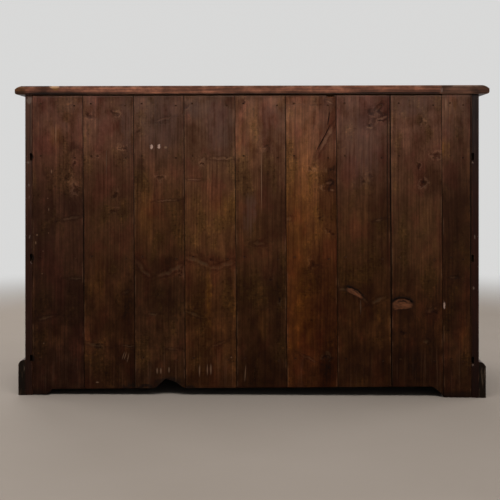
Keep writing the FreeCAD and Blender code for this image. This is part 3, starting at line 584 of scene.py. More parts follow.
BANDS = {
    1: [(634, 350, 9, 130, 0.4)],
    2: [(376, 440, 29, 460, 0.3)],
    4: [(91, 806, 37, 91, 0.5)],
    5: [(-69, 660, 35, 196, 0.6)],
    6: [(-227, 460, 27, 480, 0.4), (-228, 720, 26, 200, 0.4)],
    7: [(-378, 430, 34, 440, 0.35), (-379, 560, 33, 170, 0.25)],
}
ALL_MARKS = (KNOTS, SPIKES, SCRATCHES, PAINT, WARM, GLOW, GREY, SHADE, POCKETS, DIRT, SEAMS, BANDS)
print("marks:", sum(len(rows) for marks in ALL_MARKS for rows in marks.values()))

# %% [markdown]
# The iron nails that hold the boards have bled a dark ring into the wood. Their places are read from the
# frame, so that the stains stay round the nails: points of their mesh that lie close together are one head.

# %% Where the nails are
BACK_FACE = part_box("back_board_1")[1].y
HEAD_DEPTH = 0.0006
HEAD_REACH = 0.008
heads = []
for point in nodes["back_nails"].data.vertices:
    if point.co.y < BACK_FACE - HEAD_DEPTH:
        continue
    for head in heads:
        if abs(head[0].x - point.co.x) < HEAD_REACH and abs(head[0].z - point.co.z) < HEAD_REACH:
            head.append(point.co)
            break
    else:
        heads.append([point.co])


def midway(values):
    return (min(values) + max(values)) / 2


nail_places = [(midway([co.x for co in head]), midway([co.z for co in head])) for head in heads]
print("nails:", len(nail_places))

# %% [markdown]
# Dirt packs into the joints between the boards. The boards lean a little, so their long edges are read from
# the mesh as two lines, and the finish measures how far a point is from the nearer line.

# %% Edges of a board
ON_FACE = BACK_FACE - 1e-5
HEAD_ZONE = 1e-4
FOOT_ZONE = 0.06


def edge_lines(node):
    """The foot and head of a board's two long edges, read from its outer face."""
    face = [v.co for v in nodes[node].data.vertices if v.co.y > ON_FACE]
    head = max(v.z for v in face)
    top = [v.x for v in face if v.z > head - HEAD_ZONE]
    low = [v.x for v in face if v.z < FOOT_ZONE]
    return head, (min(low), min(top)), (max(low), max(top))


def edge_distance(place, node):
    """How far a point of the face is from the nearer long edge, in metres."""
    head, *edges = edge_lines(node)
    x, _, z = coordinates(place)
    sides = []
    for foot, top in edges:
        line = maths("MULTIPLY_ADD", z, (top - foot) / head, foot)
        sides.append(maths("ABSOLUTE", maths("SUBTRACT", x, line)))
    return maths("MINIMUM", *sides)


print("boards' outer face at y =", round(BACK_FACE, 4))

# %% [markdown]
# A back board's finish is thin old stain over pine. Grain and marks lighten or darken it by so many stops,
# each a doubling, so a dark board keeps its own colour in its light streaks. The boards are most mottled near
# their heads and feet, and specks gather in clusters.

# %% Light and dark in the boards
BOARD_LEVEL = -3.92
BOARD_GRAIN = {"streak": 1.1, "thread": 2.1, "cloud": 2.2, "blotch": 1.9, "rings": -0.45, "fleck": 0.7}
MOTTLE_LEVEL = -1.6
MOTTLE_GRAIN = {"cloud": 1.7, "blotch": 1.5}
NAIL_STAIN = (6, 7)


def board_specks(found, height):
    """Light and dark specks in clusters, and more of them near the foot."""
    specks = total(
        0.0,
        (fade(found["fleck"], 0.56, 0.66), 0.55), (fade(found["fleck"], 0.42, 0.32), -1.0),
        (fade(found["scuff"], 0.56, 0.68), 0.5), (fade(found["scuff"], 0.42, 0.30), -0.8),
    )
    clustered = fade(found["tint"], 0.50, 0.62, 0.12, 0.8)
    return times(specks, clustered, fade(height, 0.36, 0.06, 1.0, 1.6))


def board_stops(found, to_knot, to_spike, height):
    """How many stops the grain, the knots and the spikes lighten or darken the stain."""
    grained = weighed(BOARD_LEVEL, found, BOARD_GRAIN)
    grained = maths("ADD", grained, board_specks(found, height))
    ends = maths("MAXIMUM", fade(height, 0.42, 0.22), fade(height, 0.70, 0.86))
    mottled = weighed(MOTTLE_LEVEL, found, MOTTLE_GRAIN)
    grained = maths("MULTIPLY_ADD", ends, mottled, grained)
    heart = fade(to_knot, 0.75, 0.25)
    rim = ring(to_knot, 0.5, 0.85, 1.25)
    patchy = fade(found["cloud"], 0.42, 0.60)
    crescent = times(ring(to_knot, 0.85, 1.3, 2.1), patchy)
    sliver = fade(to_spike, 1.1, 0.4)
    lip = ring(to_spike, 0.9, 1.4, 2.8)
    return total(grained, (heart, -1.5), (rim, -0.6), (crescent, 0.6), (sliver, 0.3), (lip, -0.6))


def marked_stops(number, place, bent, stops, height):
    """Those stops with the dark foot, the shaded places, the heartwood and the nails' stains."""
    # Darker towards the foot: partly dirt, partly painted shade.
    stops = total(stops, (fade(height, 0.16, 0.04), -0.6))
    shaded = fade(nearest(bent, SHADE[number]), 1.35, 0.3)
    stops = total(stops, (shaded, -0.75))
    for *band, darker in BANDS.get(number, []):
        away = nearest(wavering(place, "bands"), [band], square=True)
        stops = total(stops, (fade(away, 1.06, 0.94), -darker))
    low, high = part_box(f"back_board_{number}")
    stains = [(x / MM, z / MM, *NAIL_STAIN) for x, z in nail_places if low.x < x < high.x]
    return total(stops, (fade(nearest(bent, stains), 1.5, 0.4), -0.32))


print("kinds of grain in a board's stops:", len(BOARD_GRAIN))

# %% [markdown]
# The stain itself goes from foot to head through three tones, with redder and more olive patches. Warm places
# glow through it, and dust lies near the heads of the boards. In a strip right under the top the boards carry
# painted light: they are lifted by about two stops against the top's shadow, and a pale dust colour is laid
# over that.

# %% Stain, dust and a painted light strip
GOLDEN = (1.45, 1.48, 1.16, 1)
DUST_GREY = (0.058, 0.0325, 0.0250, 1)
HEAD_DUST_AND_LIGHT = (0.150, 0.100, 0.082, 1)
RED_DARK = (1.15, 0.93, 0.80, 1)
RED_TINT = (1.10, 0.93, 1.02, 1)
OLIVE_TINT = (0.94, 1.03, 0.84, 1)
UNDER_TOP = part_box("top")[0].z


def board_colour(number, bent, found, stops, height):
    """The stain with its warm, grey and dusty places, and painted light in a strip under the top."""
    head, middle, foot = BOARD_TONES[number]
    colour = layer(fade(height, 0.24, 0.52), foot, middle)
    colour = layer(fade(height, 0.50, 0.80), colour, head)
    colour = layer(fade(found["tint"], 0.49, 0.36), colour, RED_TINT, "MULTIPLY")
    colour = layer(fade(found["tint"], 0.51, 0.64), colour, OLIVE_TINT, "MULTIPLY")
    # Painted light: right under the top the boards are lifted by 2.1 stops and half covered with pale dust,
    # against the top's shadow.
    crest = fade(height, UNDER_TOP - 0.0095, UNDER_TOP - 0.0025)
    stops = total(stops, (crest, 2.1))
    colour = by_stops(colour, stops)
    colour = layer(fade(stops, 0.0, -1.6), colour, RED_DARK, "MULTIPLY")
    streaky = fade(found["streak"], 0.25, 0.6)
    for marks in (WARM, GLOW):
        rows = marks.get(number)
        colour = over_marks(colour, bent, rows, (1.4, 0.2), 0.9, GOLDEN, streaky, "MULTIPLY")
    threaded = fade(found["thread"], 0.3, 0.6)
    colour = over_marks(colour, bent, GREY.get(number), (1.3, 0.4), 0.4, DUST_GREY, threaded)
    dusty = times(
        fade(height, 0.66, 0.90), fade(found["blotch"], 0.3, 0.7, 0.1, 0.5),
        fade(found["cloud"], 0.35, 0.60),
    )
    colour = layer(dusty, colour, DUST_GREY)
    return layer(times(crest, 0.5), colour, HEAD_DUST_AND_LIGHT)


print("dust lies thickest just under", round(UNDER_TOP, 3), "m")

# %% [markdown]
# Where a knot was torn out, bare pine shows, streaked along the pocket and arched above, with dark lines
# painted under its upper lip as its shadow. Spikes and the rims of knots show pale too, because the stain
# never took on them.

# %% Bare wood at knots
FRESH_PINE = (0.108, 0.0385, 0.0165, 1)
FRESH_DARK = (0.046, 0.0165, 0.0068, 1)
RIDGE_LOW = (0.0395, 0.0240, 0.0118, 1)
RIDGE_HIGH = (0.112, 0.0560, 0.0320, 1)
# Black for dirt in the joints, and for painted shade in gaps, housings and under pocket lips.
DIRT_AND_SHADE_BLACK = (0.0042, 0.0022, 0.0014, 1)
POCKET_STREAKS = (1.1, 0, 4.2)


def torn_pocket(colour, place, mark):
    """Bared wood, streaked along the pocket, with painted shadow lines under its upper lip."""
    local = within(wavering(place, "pockets"), mark)
    across, _, up = coordinates(local)
    arch_up = maths("MAXIMUM", up, times(up, -0.6))
    arch = add_node("ShaderNodeCombineXYZ", {0: across, 2: arch_up}).outputs[0]
    below = total(0.0, (up, -1.1), (across, -0.3))
    away = maths("MAXIMUM", vectors("LENGTH", arch), below)
    streaks = stretched(local, POCKET_STREAKS)
    fresh = layer(fade(streaks, 0.40, 0.58), FRESH_DARK, FRESH_PINE)
    ends = fade(maths("ABSOLUTE", across), 0.45, 0.95, 0.0, 0.6)
    fresh = layer(ends, fresh, FRESH_DARK)
    colour = layer(fade(away, 1.16, 0.84, 0.0, 0.92), colour, fresh)
    # Painted shadow: two dark arcs under the upper lip of the pocket.
    lip = maths("MAXIMUM", ring(away, 0.58, 0.98, 1.44), ring(away, 0.22, 0.42, 0.62))
    lip = times(lip, fade(up, -0.05, 0.35))
    rim = times(ring(away, 0.9, 1.1, 1.4), 0.35)
    return layer(maths("MAXIMUM", lip, rim), colour, DIRT_AND_SHADE_BLACK)


def bared_knots(colour, found, to_knot, sliver, height):
    """Pale slivers along the spikes, and pale patches on the rims of knots."""
    halo = times(ring(to_knot, 0.85, 1.25, 1.9), fade(found["cloud"], 0.48, 0.60))
    ridge = total(0.0, (sliver, 0.50), (halo, 0.36))
    ridge = times(ridge, fade(found["cloud"], 0.36, 0.6, 0.2, 1.0))
    pale = layer(fade(height, 0.40, 0.75), RIDGE_LOW, RIDGE_HIGH)
    return layer(ridge, colour, pale)


print("torn pockets on boards", sorted(POCKETS))

# %% [markdown]
# Dirt comes last, as it did on the real boards: packed into the joints. Down in the open gaps the wood is
# painted black as shade, and a black band along the foot is partly dirt and partly painted shade. Over it lie
# the scratches that took it off again, and a few spots of pale paint.

# %% Dirt, painted shade and scratches
SCRATCH_PALE = (0.150, 0.085, 0.050, 1)
PAINT_PALE = (0.330, 0.215, 0.170, 1)


def joint_dirt_and_gap_shade(colour, found, edge, depth, height):
    """Dirt along the joints, painted shade down in the gaps, with the arris beside it rubbed pale."""
    ragged = total(edge, (found["streak"], 0.004), (found["cloud"], 0.003))
    packed = times(
        fade(ragged, 0.0054, 0.0036), fade(height, 0.60, 0.85, 0.55, 0.34),
        fade(found["blotch"], 0.35, 0.62, 0.45, 1.0),
    )
    colour = layer(packed, colour, DIRT_AND_SHADE_BLACK)
    rubbed = ring(edge, 0.0008, 0.0020, 0.0046)
    rubbed = times(rubbed, fade(found["cloud"], 0.52, 0.62, 0.0, 0.22))
    colour = layer(rubbed, colour, SCRATCH_PALE)
    # Painted shade: wood 2 to 4 mm or more below the face, in gaps, splits and pockets, turns black.
    return layer(fade(depth, BACK_FACE - 0.0020, BACK_FACE - 0.0040), colour, DIRT_AND_SHADE_BLACK)


def dirt_shade_and_scratches(colour, number, place, bent, found, height):
    colour = over_marks(colour, bent, DIRT.get(number), (1.35, 0.45), 0.85, DIRT_AND_SHADE_BLACK)
    if number in SEAMS:
        seam = wavering(place, "seams")
        colour = over_marks(colour, seam, SEAMS[number], (1.3, 0.6), 0.9, DIRT_AND_SHADE_BLACK)
    # A black band along the foot, partly dirt and partly painted shade.
    foot_dirt_and_shade = total(height, (found["cloud"], -0.030), (found["blotch"], -0.020))
    colour = layer(fade(foot_dirt_and_shade, -0.003, -0.017, 0.0, 0.7), colour, DIRT_AND_SHADE_BLACK)
    scraped = times(
        fade(height, 0.17, 0.08), fade(found["blotch"], 0.42, 0.60),
        fade(found["thread"], 0.56, 0.68, 0.0, 0.11),
    )
    colour = layer(scraped, colour, SCRATCH_PALE)
    colour = over_marks(colour, place, SCRATCHES.get(number), (1.3, 0.4), 0.65, SCRATCH_PALE)
    if number in PAINT:
        spot = wavering(place, "paint")
        colour = over_marks(colour, spot, PAINT[number], (1.15, 0.6), 0.8, PAINT_PALE)
    return colour


print("scratched boards:", sorted(SCRATCHES))

# %% [markdown]
# The whole finish puts these layers in order. Each board has its own stretch of the tree, from its own
# seed, and its rings swirl round the knots. The bump repeats the grain, since wood wears between its rings.

# %% Finish of the back boards
BOARD_RINGS = 0.0085
BOARD_RELIEF = {"rings": -0.35, "fibre": 0.5, "streak": 0.6, "thread": 0.4}


def board_finish(number):
    node = f"back_board_{number}"
    dice = random.Random(number)
    material = new_tree(f"stained_back_board_{number}")
    shift = (0, 0, dice.uniform(-3, 3))
    place, space = grain_space("Z", shift)
    _, depth, height = coordinates(place)
    bent = wavering(wavering(place, "broad"), "fine")
    low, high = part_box(node)
    heart_x = (low.x + high.x) / 2 + dice.uniform(-0.05, 0.05)
    heart = (heart_x, BACK_FACE - dice.uniform(0.02, 0.07), shift[2] + 0.4)
    to_knot = nearest(bent, KNOTS[number])
    to_spike = nearest(wavering(place, "spikes"), SPIKES[number])
    swirl = fade(maths("MINIMUM", to_knot, to_spike), 3.6, 0.3, 0.0, 3.0)
    found = grain(space, heart, BOARD_RINGS, swirl)
    stops = board_stops(found, to_knot, to_spike, height)
    stops = marked_stops(number, place, bent, stops, height)
    colour = board_colour(number, bent, found, stops, height)
    sliver = fade(to_spike, 1.35, 0.30)
    colour = bared_knots(colour, found, to_knot, sliver, height)
    edge = edge_distance(place, node)
    colour = joint_dirt_and_gap_shade(colour, found, edge, depth, height)
    for *mark, _ in POCKETS.get(number, []):
        colour = torn_pocket(colour, place, mark)
    colour = dirt_shade_and_scratches(colour, number, place, bent, found, height)
    relief = weighed(0.0, found, BOARD_RELIEF)
    relief = total(relief, (sliver, -1.2), (fade(to_knot, 1.2, 0.7), -0.9))
    normal = bump(relief, 0.5, 0.0009)
    dry = fade(found["blotch"], 0.35, 0.7, 0.46, 0.68)
    surface(Base_Color=colour, Roughness=dry, Normal=normal, Specular_IOR_Level=0.05)
    return material


print("board finish ready; rings about", round(BOARD_RINGS / MM, 1), "mm apart")

# %% [markdown]
# A few steps serve every piece. A piece starts as a copy of its node, merged from loose triangles into whole
# faces, since only whole faces can be bevelled and inset cleanly.

# %% Steps that start a piece
MERGE = 2e-6
FLAT = math.radians(0.4)


def only(*pieces):
    """Selects these pieces and nothing else; the first is the active one."""
    bpy.ops.object.select_all(action="DESELECT")
    for piece in pieces:
        piece.select_set(True)
    bpy.context.view_layer.objects.active = pieces[0]


def enter_edit(action="SELECT"):
    """Goes into edit mode with all of the active piece selected, or none of it."""
    bpy.ops.object.mode_set(mode="EDIT")
    bpy.ops.mesh.select_all(action=action)


def leave_edit():
    bpy.ops.object.mode_set(mode="OBJECT")


def join_pieces(pieces):
    only(*pieces)
    if len(pieces) > 1:
        bpy.ops.object.join()
    return pieces[0]


def copy_of(node, name):
    """A node's mesh as a new piece with its loose triangles merged into whole faces."""
    piece = bpy.data.objects.new(name, nodes[node].data.copy())
    piece.data.name = name
    piece.data.materials.clear()
    bpy.context.scene.collection.objects.link(piece)
    only(piece)
    bpy.ops.mesh.customdata_custom_splitnormals_clear()
    enter_edit()
    bpy.ops.mesh.remove_doubles(threshold=MERGE)
    bpy.ops.mesh.dissolve_limited(angle_limit=FLAT)
    leave_edit()
    return piece


print("pieces can be copied and joined")

# %% [markdown]
# Edges are chosen by their place or sharpness and bevelled, as a plane and wear ease them. A Bevel modifier
# could do it too, but it would ease tongues and dovetails that have to stay sharp. A finished piece takes its
# node's place and rides on the same body.

# %% Steps that shape and finish a piece
def ease_edges(piece, width, chosen, segments=2, sharp=50):
    """Bevels the edges that turn by more than sharp degrees and whose two ends pass a rule."""
    only(piece)
    enter_edit("DESELECT")
    bpy.ops.mesh.select_mode(type="EDGE")
    bpy.ops.mesh.edges_select_sharp(sharpness=math.radians(sharp))
    leave_edit()
    points = piece.data.vertices
    for edge in piece.data.edges:
        if edge.select:
            edge.select = chosen(*(points[i].co for i in edge.vertices))
    for point in points:
        point.select = False
    for face in piece.data.polygons:
        face.select = False
    bpy.ops.object.mode_set(mode="EDIT")
    bpy.ops.mesh.bevel(offset=width, segments=segments, profile=0.6)
    leave_edit()


def finish_piece(piece, node, material, smooth=35.0):
    """Gives a piece its finish and puts it in its node's place."""
    piece.data.materials.clear()
    piece.data.materials.append(material)
    only(piece)
    bpy.ops.object.shade_smooth_by_angle(angle=math.radians(smooth))
    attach(piece, nodes[node]["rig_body"])
    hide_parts(node)
    return piece


print("shaping steps ready")

# %% [markdown]
# Here and there the plane tore a knot out of the face and left a pocket with a sharp upper lip, and some
# boards have split along their grain. A pocket is cut by a flat oval peg tipped forward, so it is deep at its
# lip and runs out to nothing below. A split is cut by a thin lens. A Boolean modifier takes them out, because
# it leaves the rest of the face as it was.

# %% Pockets and splits
SPLITS = {
    6: [(-214, 762, 1.3, 50, 28), (-230, 822, 1.4, 22, 9)],
    5: [(-12, 66, 0.8, 26, 3)],
    7: [(-324, 264, 0.9, 22, 1)],
    2: [(428, 692, 0.7, 36, 0)],
}
PEG = {"corners": 28, "thick": 0.012, "ragged": 0.0012}
LENS_SHAPE = {"corners": 12, "thick": 0.010, "ragged": 0.0005}


def oval_cutter(x, z, half_x, half_z, lean, shape, raised=0.0, tip=0.0, sink=0.0):
    """A flat oval block across the face, with a ragged outline from its own seed."""
    upright = (math.radians(90), 0, 0)
    bpy.ops.mesh.primitive_cylinder_add(vertices=shape["corners"], radius=1, depth=1, rotation=upright)
    cutter = bpy.context.object
    bpy.ops.object.transform_apply(location=False, rotation=True, scale=False)
    enter_edit()
    bpy.ops.transform.translate(value=(0, raised, 0))
    size = (half_x * MM, shape["thick"], half_z * MM)
    bpy.ops.transform.resize(value=size, center_override=(0, 0, 0))
    bpy.ops.transform.vertex_random(offset=shape["ragged"], seed=int(abs(x)))
    leave_edit()
    cutter.rotation_euler = (tip, -math.radians(lean), 0)
    cutter.location = (x * MM, BACK_FACE - sink, z * MM)
    bpy.ops.object.transform_apply(location=True, rotation=True, scale=False)
    return cutter


def pocket_peg(*mark):
    *oval, depth = mark
    tip = math.atan2(depth, 2.0 * oval[3])
    return oval_cutter(*oval, PEG, raised=0.5, tip=tip, sink=0.5 * depth * MM)


def split_lens(*mark):
    return oval_cutter(*mark, LENS_SHAPE)


def carve(piece, cutters):
    """Takes the joined cutters out of a piece with a Boolean modifier."""
    cutter = join_pieces(cutters)
    cut = piece.modifiers.new("carve", "BOOLEAN")
    cut.object = cutter
    cut.operation = "DIFFERENCE"
    cut.solver = "EXACT"
    cut.use_self = True
    only(piece)
    bpy.ops.object.modifier_apply(modifier=cut.name)
    only(cutter)
    bpy.ops.object.delete()


print("pockets:", sum(map(len, POCKETS.values())), "splits:", sum(map(len, SPLITS.values())))

# %% [markdown]
# The boards were sawn and planed by hand, so no face is quite flat. A Displace modifier makes it uneven, once
# planes have cut it into an even net. Subdividing would leave such long faces in long strips.

# %% Uneven faces
UNEVEN_BY = 0.0030
uneven = bpy.data.textures.new("uneven_face", "CLOUDS")
uneven.noise_scale = 0.16
uneven.noise_depth = 2


def cut_across(piece, start, end, step, axis):
    """Bisects the whole piece by planes that stand a step apart along an axis."""
    normal = [0, 0, 0]
    normal[axis] = 1
    only(piece)
    enter_edit()
    for count in range(1, int((end - start) / step)):
        place = [0, 0, 0]
        place[axis] = start + count * step
        bpy.ops.mesh.select_all(action="SELECT")
        bpy.ops.mesh.bisect(plane_co=place, plane_no=normal)
    leave_edit()


def make_uneven(piece, indices):
    group = piece.vertex_groups.new(name="outer_face")
    group.add(indices, 1.0, "REPLACE")
    push = piece.modifiers.new("uneven", "DISPLACE")
    push.texture = uneven
    push.texture_coords = "LOCAL"
    push.direction = "Y"
    push.mid_level = 0.5
    push.strength = UNEVEN_BY
    push.vertex_group = group.name
    only(piece)
    bpy.ops.object.modifier_apply(modifier=push.name)


print("a face moves by up to", round(UNEVEN_BY / 2 / MM, 1), "mm either way")

# %% [markdown]
# No edge is quite sharp either. The long edges are bevelled, the pockets and splits are carved, and the face
# is made uneven between its edges. Only the outer face moves: the tongues still fit their grooves.

# %% Shape of the back boards
BOARD_EASE = 0.0011
FOOT_ROUND = 0.006
FOOT_MARGIN = 0.012
FACE_MARGIN = 0.004
NET_ACROSS = 0.012
NET_UP = 0.015
LONG_EDGE = 0.1
THROUGH_EDGE = 0.010
FOOT_LINE = 0.02


def shape_board(number):
    node = f"back_board_{number}"
    piece = copy_of(node, f"boarded_back_{number}")
    low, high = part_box(node)
    _, left, right = edge_lines(node)

    def long_face_edge(a, b):
        return min(a.y, b.y) > ON_FACE and abs(a.z - b.z) > LONG_EDGE

    def foot_corner(a, b):
        through = abs(a.y - b.y) > THROUGH_EDGE and FOOT_LINE < a.z < FOOT_ZONE
        return through and max(left) + FOOT_MARGIN < a.x < min(right) - FOOT_MARGIN

    def inside_face(co):
        return co.y > ON_FACE and max(left) + FACE_MARGIN < co.x < min(right) - FACE_MARGIN

    ease_edges(piece, FOOT_ROUND, foot_corner, 4, 20)
    ease_edges(piece, BOARD_EASE, long_face_edge)
    cutters = [pocket_peg(*row) for row in POCKETS.get(number, [])]
    cutters += [split_lens(*row) for row in SPLITS.get(number, [])]
    if cutters:
        carve(piece, cutters)
    cut_across(piece, low.z, high.z, NET_UP, 2)
    cut_across(piece, low.x, high.x, NET_ACROSS, 0)
    make_uneven(piece, [v.index for v in piece.data.vertices if inside_face(v.co)])
    return finish_piece(piece, node, board_finish(number))


boards = [shape_board(number) for number in BOARD_TONES]
print("boards:", [len(piece.data.polygons) for piece in boards])

# %% [markdown]
# The nails are cut nails with flat hammered heads, driven just below the face. One is modelled from a block:
# its edges are bevelled, its face is inset and raised, and its inner end is drawn out into a tapering shank.

# %% One nail
HEAD_SIZE = (0.0058, 0.0014, 0.0043)
HEAD_SINK = 0.0004
HEAD_INSET = 0.0011
HEAD_CROWN = 0.0003
HEAD_EASE = 0.0004
HEAD_BACK = -0.0021
SHANK = 0.030
SHANK_TAPER = (0.45, 1, 0.6)


def block(size, place):
    """A new block whose size and place are in its mesh."""
    bpy.ops.object.select_all(action="DESELECT")
    bpy.ops.mesh.primitive_cube_add(size=1, location=(0, 0, 0))
    piece = bpy.context.object
    enter_edit()
    bpy.ops.transform.resize(value=size)
    bpy.ops.transform.translate(value=place)
    leave_edit()
    return piece


def choose_faces(piece, rule):
    """Selects the faces that pass a rule, and goes into edit mode."""
    only(piece)
    enter_edit("DESELECT")
    bpy.ops.mesh.select_mode(type="FACE")
    leave_edit()
    for face in piece.data.polygons:
        face.select = rule(face)
    bpy.ops.object.mode_set(mode="EDIT")


def cut_nail():
    piece = block(HEAD_SIZE, (0, -HEAD_SINK - HEAD_SIZE[1] / 2, 0))
    choose_faces(piece, lambda face: face.normal.y > 0.9)
    bpy.ops.mesh.inset(thickness=HEAD_INSET)
    bpy.ops.transform.translate(value=(0, HEAD_CROWN, 0))
    leave_edit()
    choose_faces(piece, lambda face: face.normal.y < -0.9)
    bpy.ops.mesh.inset(thickness=HEAD_INSET)
    bpy.ops.mesh.extrude_region_move(TRANSFORM_OT_translate={"value": (0, -SHANK, 0)})
    bpy.ops.transform.resize(value=SHANK_TAPER)
    leave_edit()
    ease_edges(piece, HEAD_EASE, lambda a, b: min(a.y, b.y) > HEAD_BACK)
    return piece


print("a nail's head is", round(HEAD_SIZE[0] / MM, 1), "mm long")

# %% [markdown]
# That one nail is copied to all the places found above, as nails from one keg are all alike. The copies are
# joined, because the nails are one node of the frame.

# %% All the nails
pattern = cut_nail()
copies = []
for index, (x, z) in enumerate(nail_places):
    copy = bpy.data.objects.new(f"nail_{index}", pattern.data.copy())
    bpy.context.scene.collection.objects.link(copy)
    copy.location = (x, BACK_FACE, z)
    copies.append(copy)
bpy.data.objects.remove(pattern)
nails = join_pieces(copies)
nails.name = nails.data.name = "cut_nails"
bpy.ops.object.transform_apply(location=True, rotation=True, scale=True)
print("nails made:", len(nail_places), "with", len(nails.data.polygons), "faces")

# %% [markdown]
# The nails were stained over with the boards, and rust has darkened some of them since.
# Brass goes brown, and stays bright only where it is rubbed. Both are patchy,
# so one recipe serves, with its own two colours.

# %% Iron and brass
RUST_DARK = (0.0125, 0.0056, 0.0033, 1)
RUST_BROWN = (0.042, 0.0175, 0.0080, 1)
BRASS_BROWN = (0.13, 0.072, 0.026, 1)
BRASS_BRIGHT = (0.36, 0.235, 0.085, 1)
PATCHES = 180.0


def metal_finish(name, dull, bright, metallic, rough, gloss):
    material = new_tree(name)
    patch = noise(object_place(), PATCHES, 4.0, 0.65)[0]
    colour = layer(fade(patch, 0.42, 0.62), dull, bright)
    sheen = fade(patch, 0.3, 0.7, rough - 0.1, rough + 0.15)
    normal = bump(patch, 0.4, 0.0004)
    surface(Base_Color=colour, Metallic=metallic, Roughness=sheen, Normal=normal, Specular_IOR_Level=gloss)
    return material


RUST = metal_finish("rusted_iron", RUST_DARK, RUST_BROWN, 0.0, 0.8, 0.03)
BRASS = metal_finish("old_brass", BRASS_BROWN, BRASS_BRIGHT, 1.0, 0.42, 0.2)
finish_piece(nails, "back_nails", RUST)
for node, piece in nodes.items():
    if node_slots[node] == "brass":
        piece.data.materials.clear()
        piece.data.materials.append(BRASS)
print("nails and hinges finished")

# %% [markdown]
# The rest of the carcass is the same stained pine with the grain along each piece, and its own stretch of
# the tree. What the hand and the broom reach is rubbed pale along the edges: the Bevel node finds them, since
# it rounds the normal there and nowhere else. End grain drinks more stain and is darker.

# %% Grain and wear of a planed piece
WOOD_LEVEL = -3.25
WOOD_GRAIN = {"streak": 2.4, "thread": 1.6, "cloud": 1.3, "blotch": 1.6, "rings": -0.6}
WOOD_RELIEF = {"rings": -0.3, "fibre": 0.4, "streak": 0.4}
ALONG = {"X": (1, 0, 0), "Y": (0, 1, 0), "Z": (0, 0, 1)}


def worn_edges(radius):
    """1 on sharp edges and 0 on flat faces."""
    rounded = add_node("ShaderNodeBevel", {"Radius": radius}, samples=4).outputs[0]
    normal = add_node("ShaderNodeNewGeometry").outputs["Normal"]
    return fade(vectors("DOT_PRODUCT", rounded, normal), 0.985, 0.80)


def facing(direction):
    """1 on faces that look along a direction of the piece's own frame."""
    normal = add_node("ShaderNodeTexCoord").outputs["Normal"]
    return fade(vectors("DOT_PRODUCT", normal, direction), 0.55, 0.85)


def wood_stops(found, axis):
    """Grain of a planed piece in stops, with darker end grain."""
    against = tuple(-v for v in ALONG[axis])
    ends = maths("MAXIMUM", facing(ALONG[axis]), facing(against))
    return total(weighed(WOOD_LEVEL, found, WOOD_GRAIN), (ends, -0.55))


def wood_surface(colour, found, rough, gloss):
    """Ends the tree of a planed piece, duller in some blotches than in others."""
    normal = bump(weighed(0.0, found, WOOD_RELIEF), 0.4, 0.0006)
    dull = fade(found["blotch"], 0.3, 0.7, *rough)
    surface(Base_Color=colour, Roughness=dull, Normal=normal, Specular_IOR_Level=gloss)


print("kinds of grain in a planed piece's stops:", len(WOOD_GRAIN))

# %% [markdown]
# The raw edges that face the wall were never polished: they have their own two stains, high and low, with
# pale scrapes and chips. The open ends of the housings beside the back boards are painted black as shade.

# %% Finish of the stained and bare pieces
STAINED = (0.058, 0.0205, 0.0088, 1)
STAINED_WORN = (0.150, 0.066, 0.031, 1)
BARE = (0.270, 0.150, 0.066, 1)
BARE_WORN = (0.400, 0.255, 0.135, 1)
SCRAPED_PALE = (0.060, 0.0385, 0.0240, 1)
CHIPPED_PALE = (0.098, 0.064, 0.048, 1)
SCRAPES = (190, 1, 24)
WOOD_RINGS = 0.0075
SIDE_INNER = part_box("right_side")[0].x
CHIPS = [
    (661, 691, 3, 4.5), (658, 588, 2, 4), (658, 876, 9, 12), (659, 624, 3, 4), (657, 470, 2, 5),
    (653, 394, 2.5, 3), (-651.5, 692, 2.5, 3), (-658, 472, 2, 7), (-655, 322, 3, 5), (-653, 98, 3.5, 4.5),
]


def scraped_and_chipped(colour, place, behind, least, most):
    """Pale scrapes on a raw edge, from least of them low down to most high up, and its chips."""
    height = coordinates(place)[2]
    scrape = fade(stretched(place, SCRAPES), 0.54, 0.70)
    share = times(scrape, fade(height, 0.45, 0.85, least, most), behind)
    colour = layer(share, colour, SCRAPED_PALE)
    chip = wavering(place, "chips")
    return over_marks(colour, chip, CHIPS, (1.2, 0.6), 0.7, CHIPPED_PALE, behind)


def wood_finish(name, axis, tone, worn, roughness, gloss, back=None):
    dice = random.Random(name)
    material = new_tree(name)
    shift = (dice.uniform(-2, 2), dice.uniform(-2, 2), dice.uniform(-3, 3))
    place, space = grain_space(axis, shift)
    heart = (shift[0] + dice.uniform(-0.1, 0.1), shift[1] - dice.uniform(0.05, 0.2), shift[2])
    found = grain(space, heart, WOOD_RINGS)
    stops = wood_stops(found, axis)
    x, y, height = coordinates(place)
    # Painted shade: the open ends of the housings near the back turn black.
    housed = ring(maths("ABSOLUTE", x), SIDE_INNER, SIDE_INNER + 0.005, SIDE_INNER + 0.014)
    housing_shade = times(housed, fade(y, 0.15, 0.20, 0.0, 0.92))
    wear = times(worn_edges(0.0025), fade(found["blotch"], 0.35, 0.65, 0.0, 0.7))
    colour = tone
    if back:
        high, low, most, least = back
        behind = facing(ALONG["Y"])
        colour = layer(behind, tone, layer(fade(height, 0.48, 0.84), low, high))
        stops = total(stops, (fade(height, 0.26, 0.08), -0.8))
        wear = times(wear, fade(found["cloud"], 0.5, 0.62))
        housing_shade = times(housing_shade, maths("SUBTRACT", 1.0, behind))
    colour = layer(wear, by_stops(colour, stops), worn)
    if back:
        colour = scraped_and_chipped(colour, place, behind, least, most)
    colour = layer(housing_shade, colour, DIRT_AND_SHADE_BLACK)
    wood_surface(colour, found, (roughness - 0.07, roughness + 0.07), gloss)
    return material


print("stained and bare finishes ready; chips:", len(CHIPS))

# %% [markdown]
# The top is made of three planks, rounded over at the front and both ends. Its back edge was left square.
# A length of that edge was once let in anew, with a filled joint, and a chip is gone beside the other end.
# The plank joints, the let-in joint and the chip are carved, because they catch the light from every side.

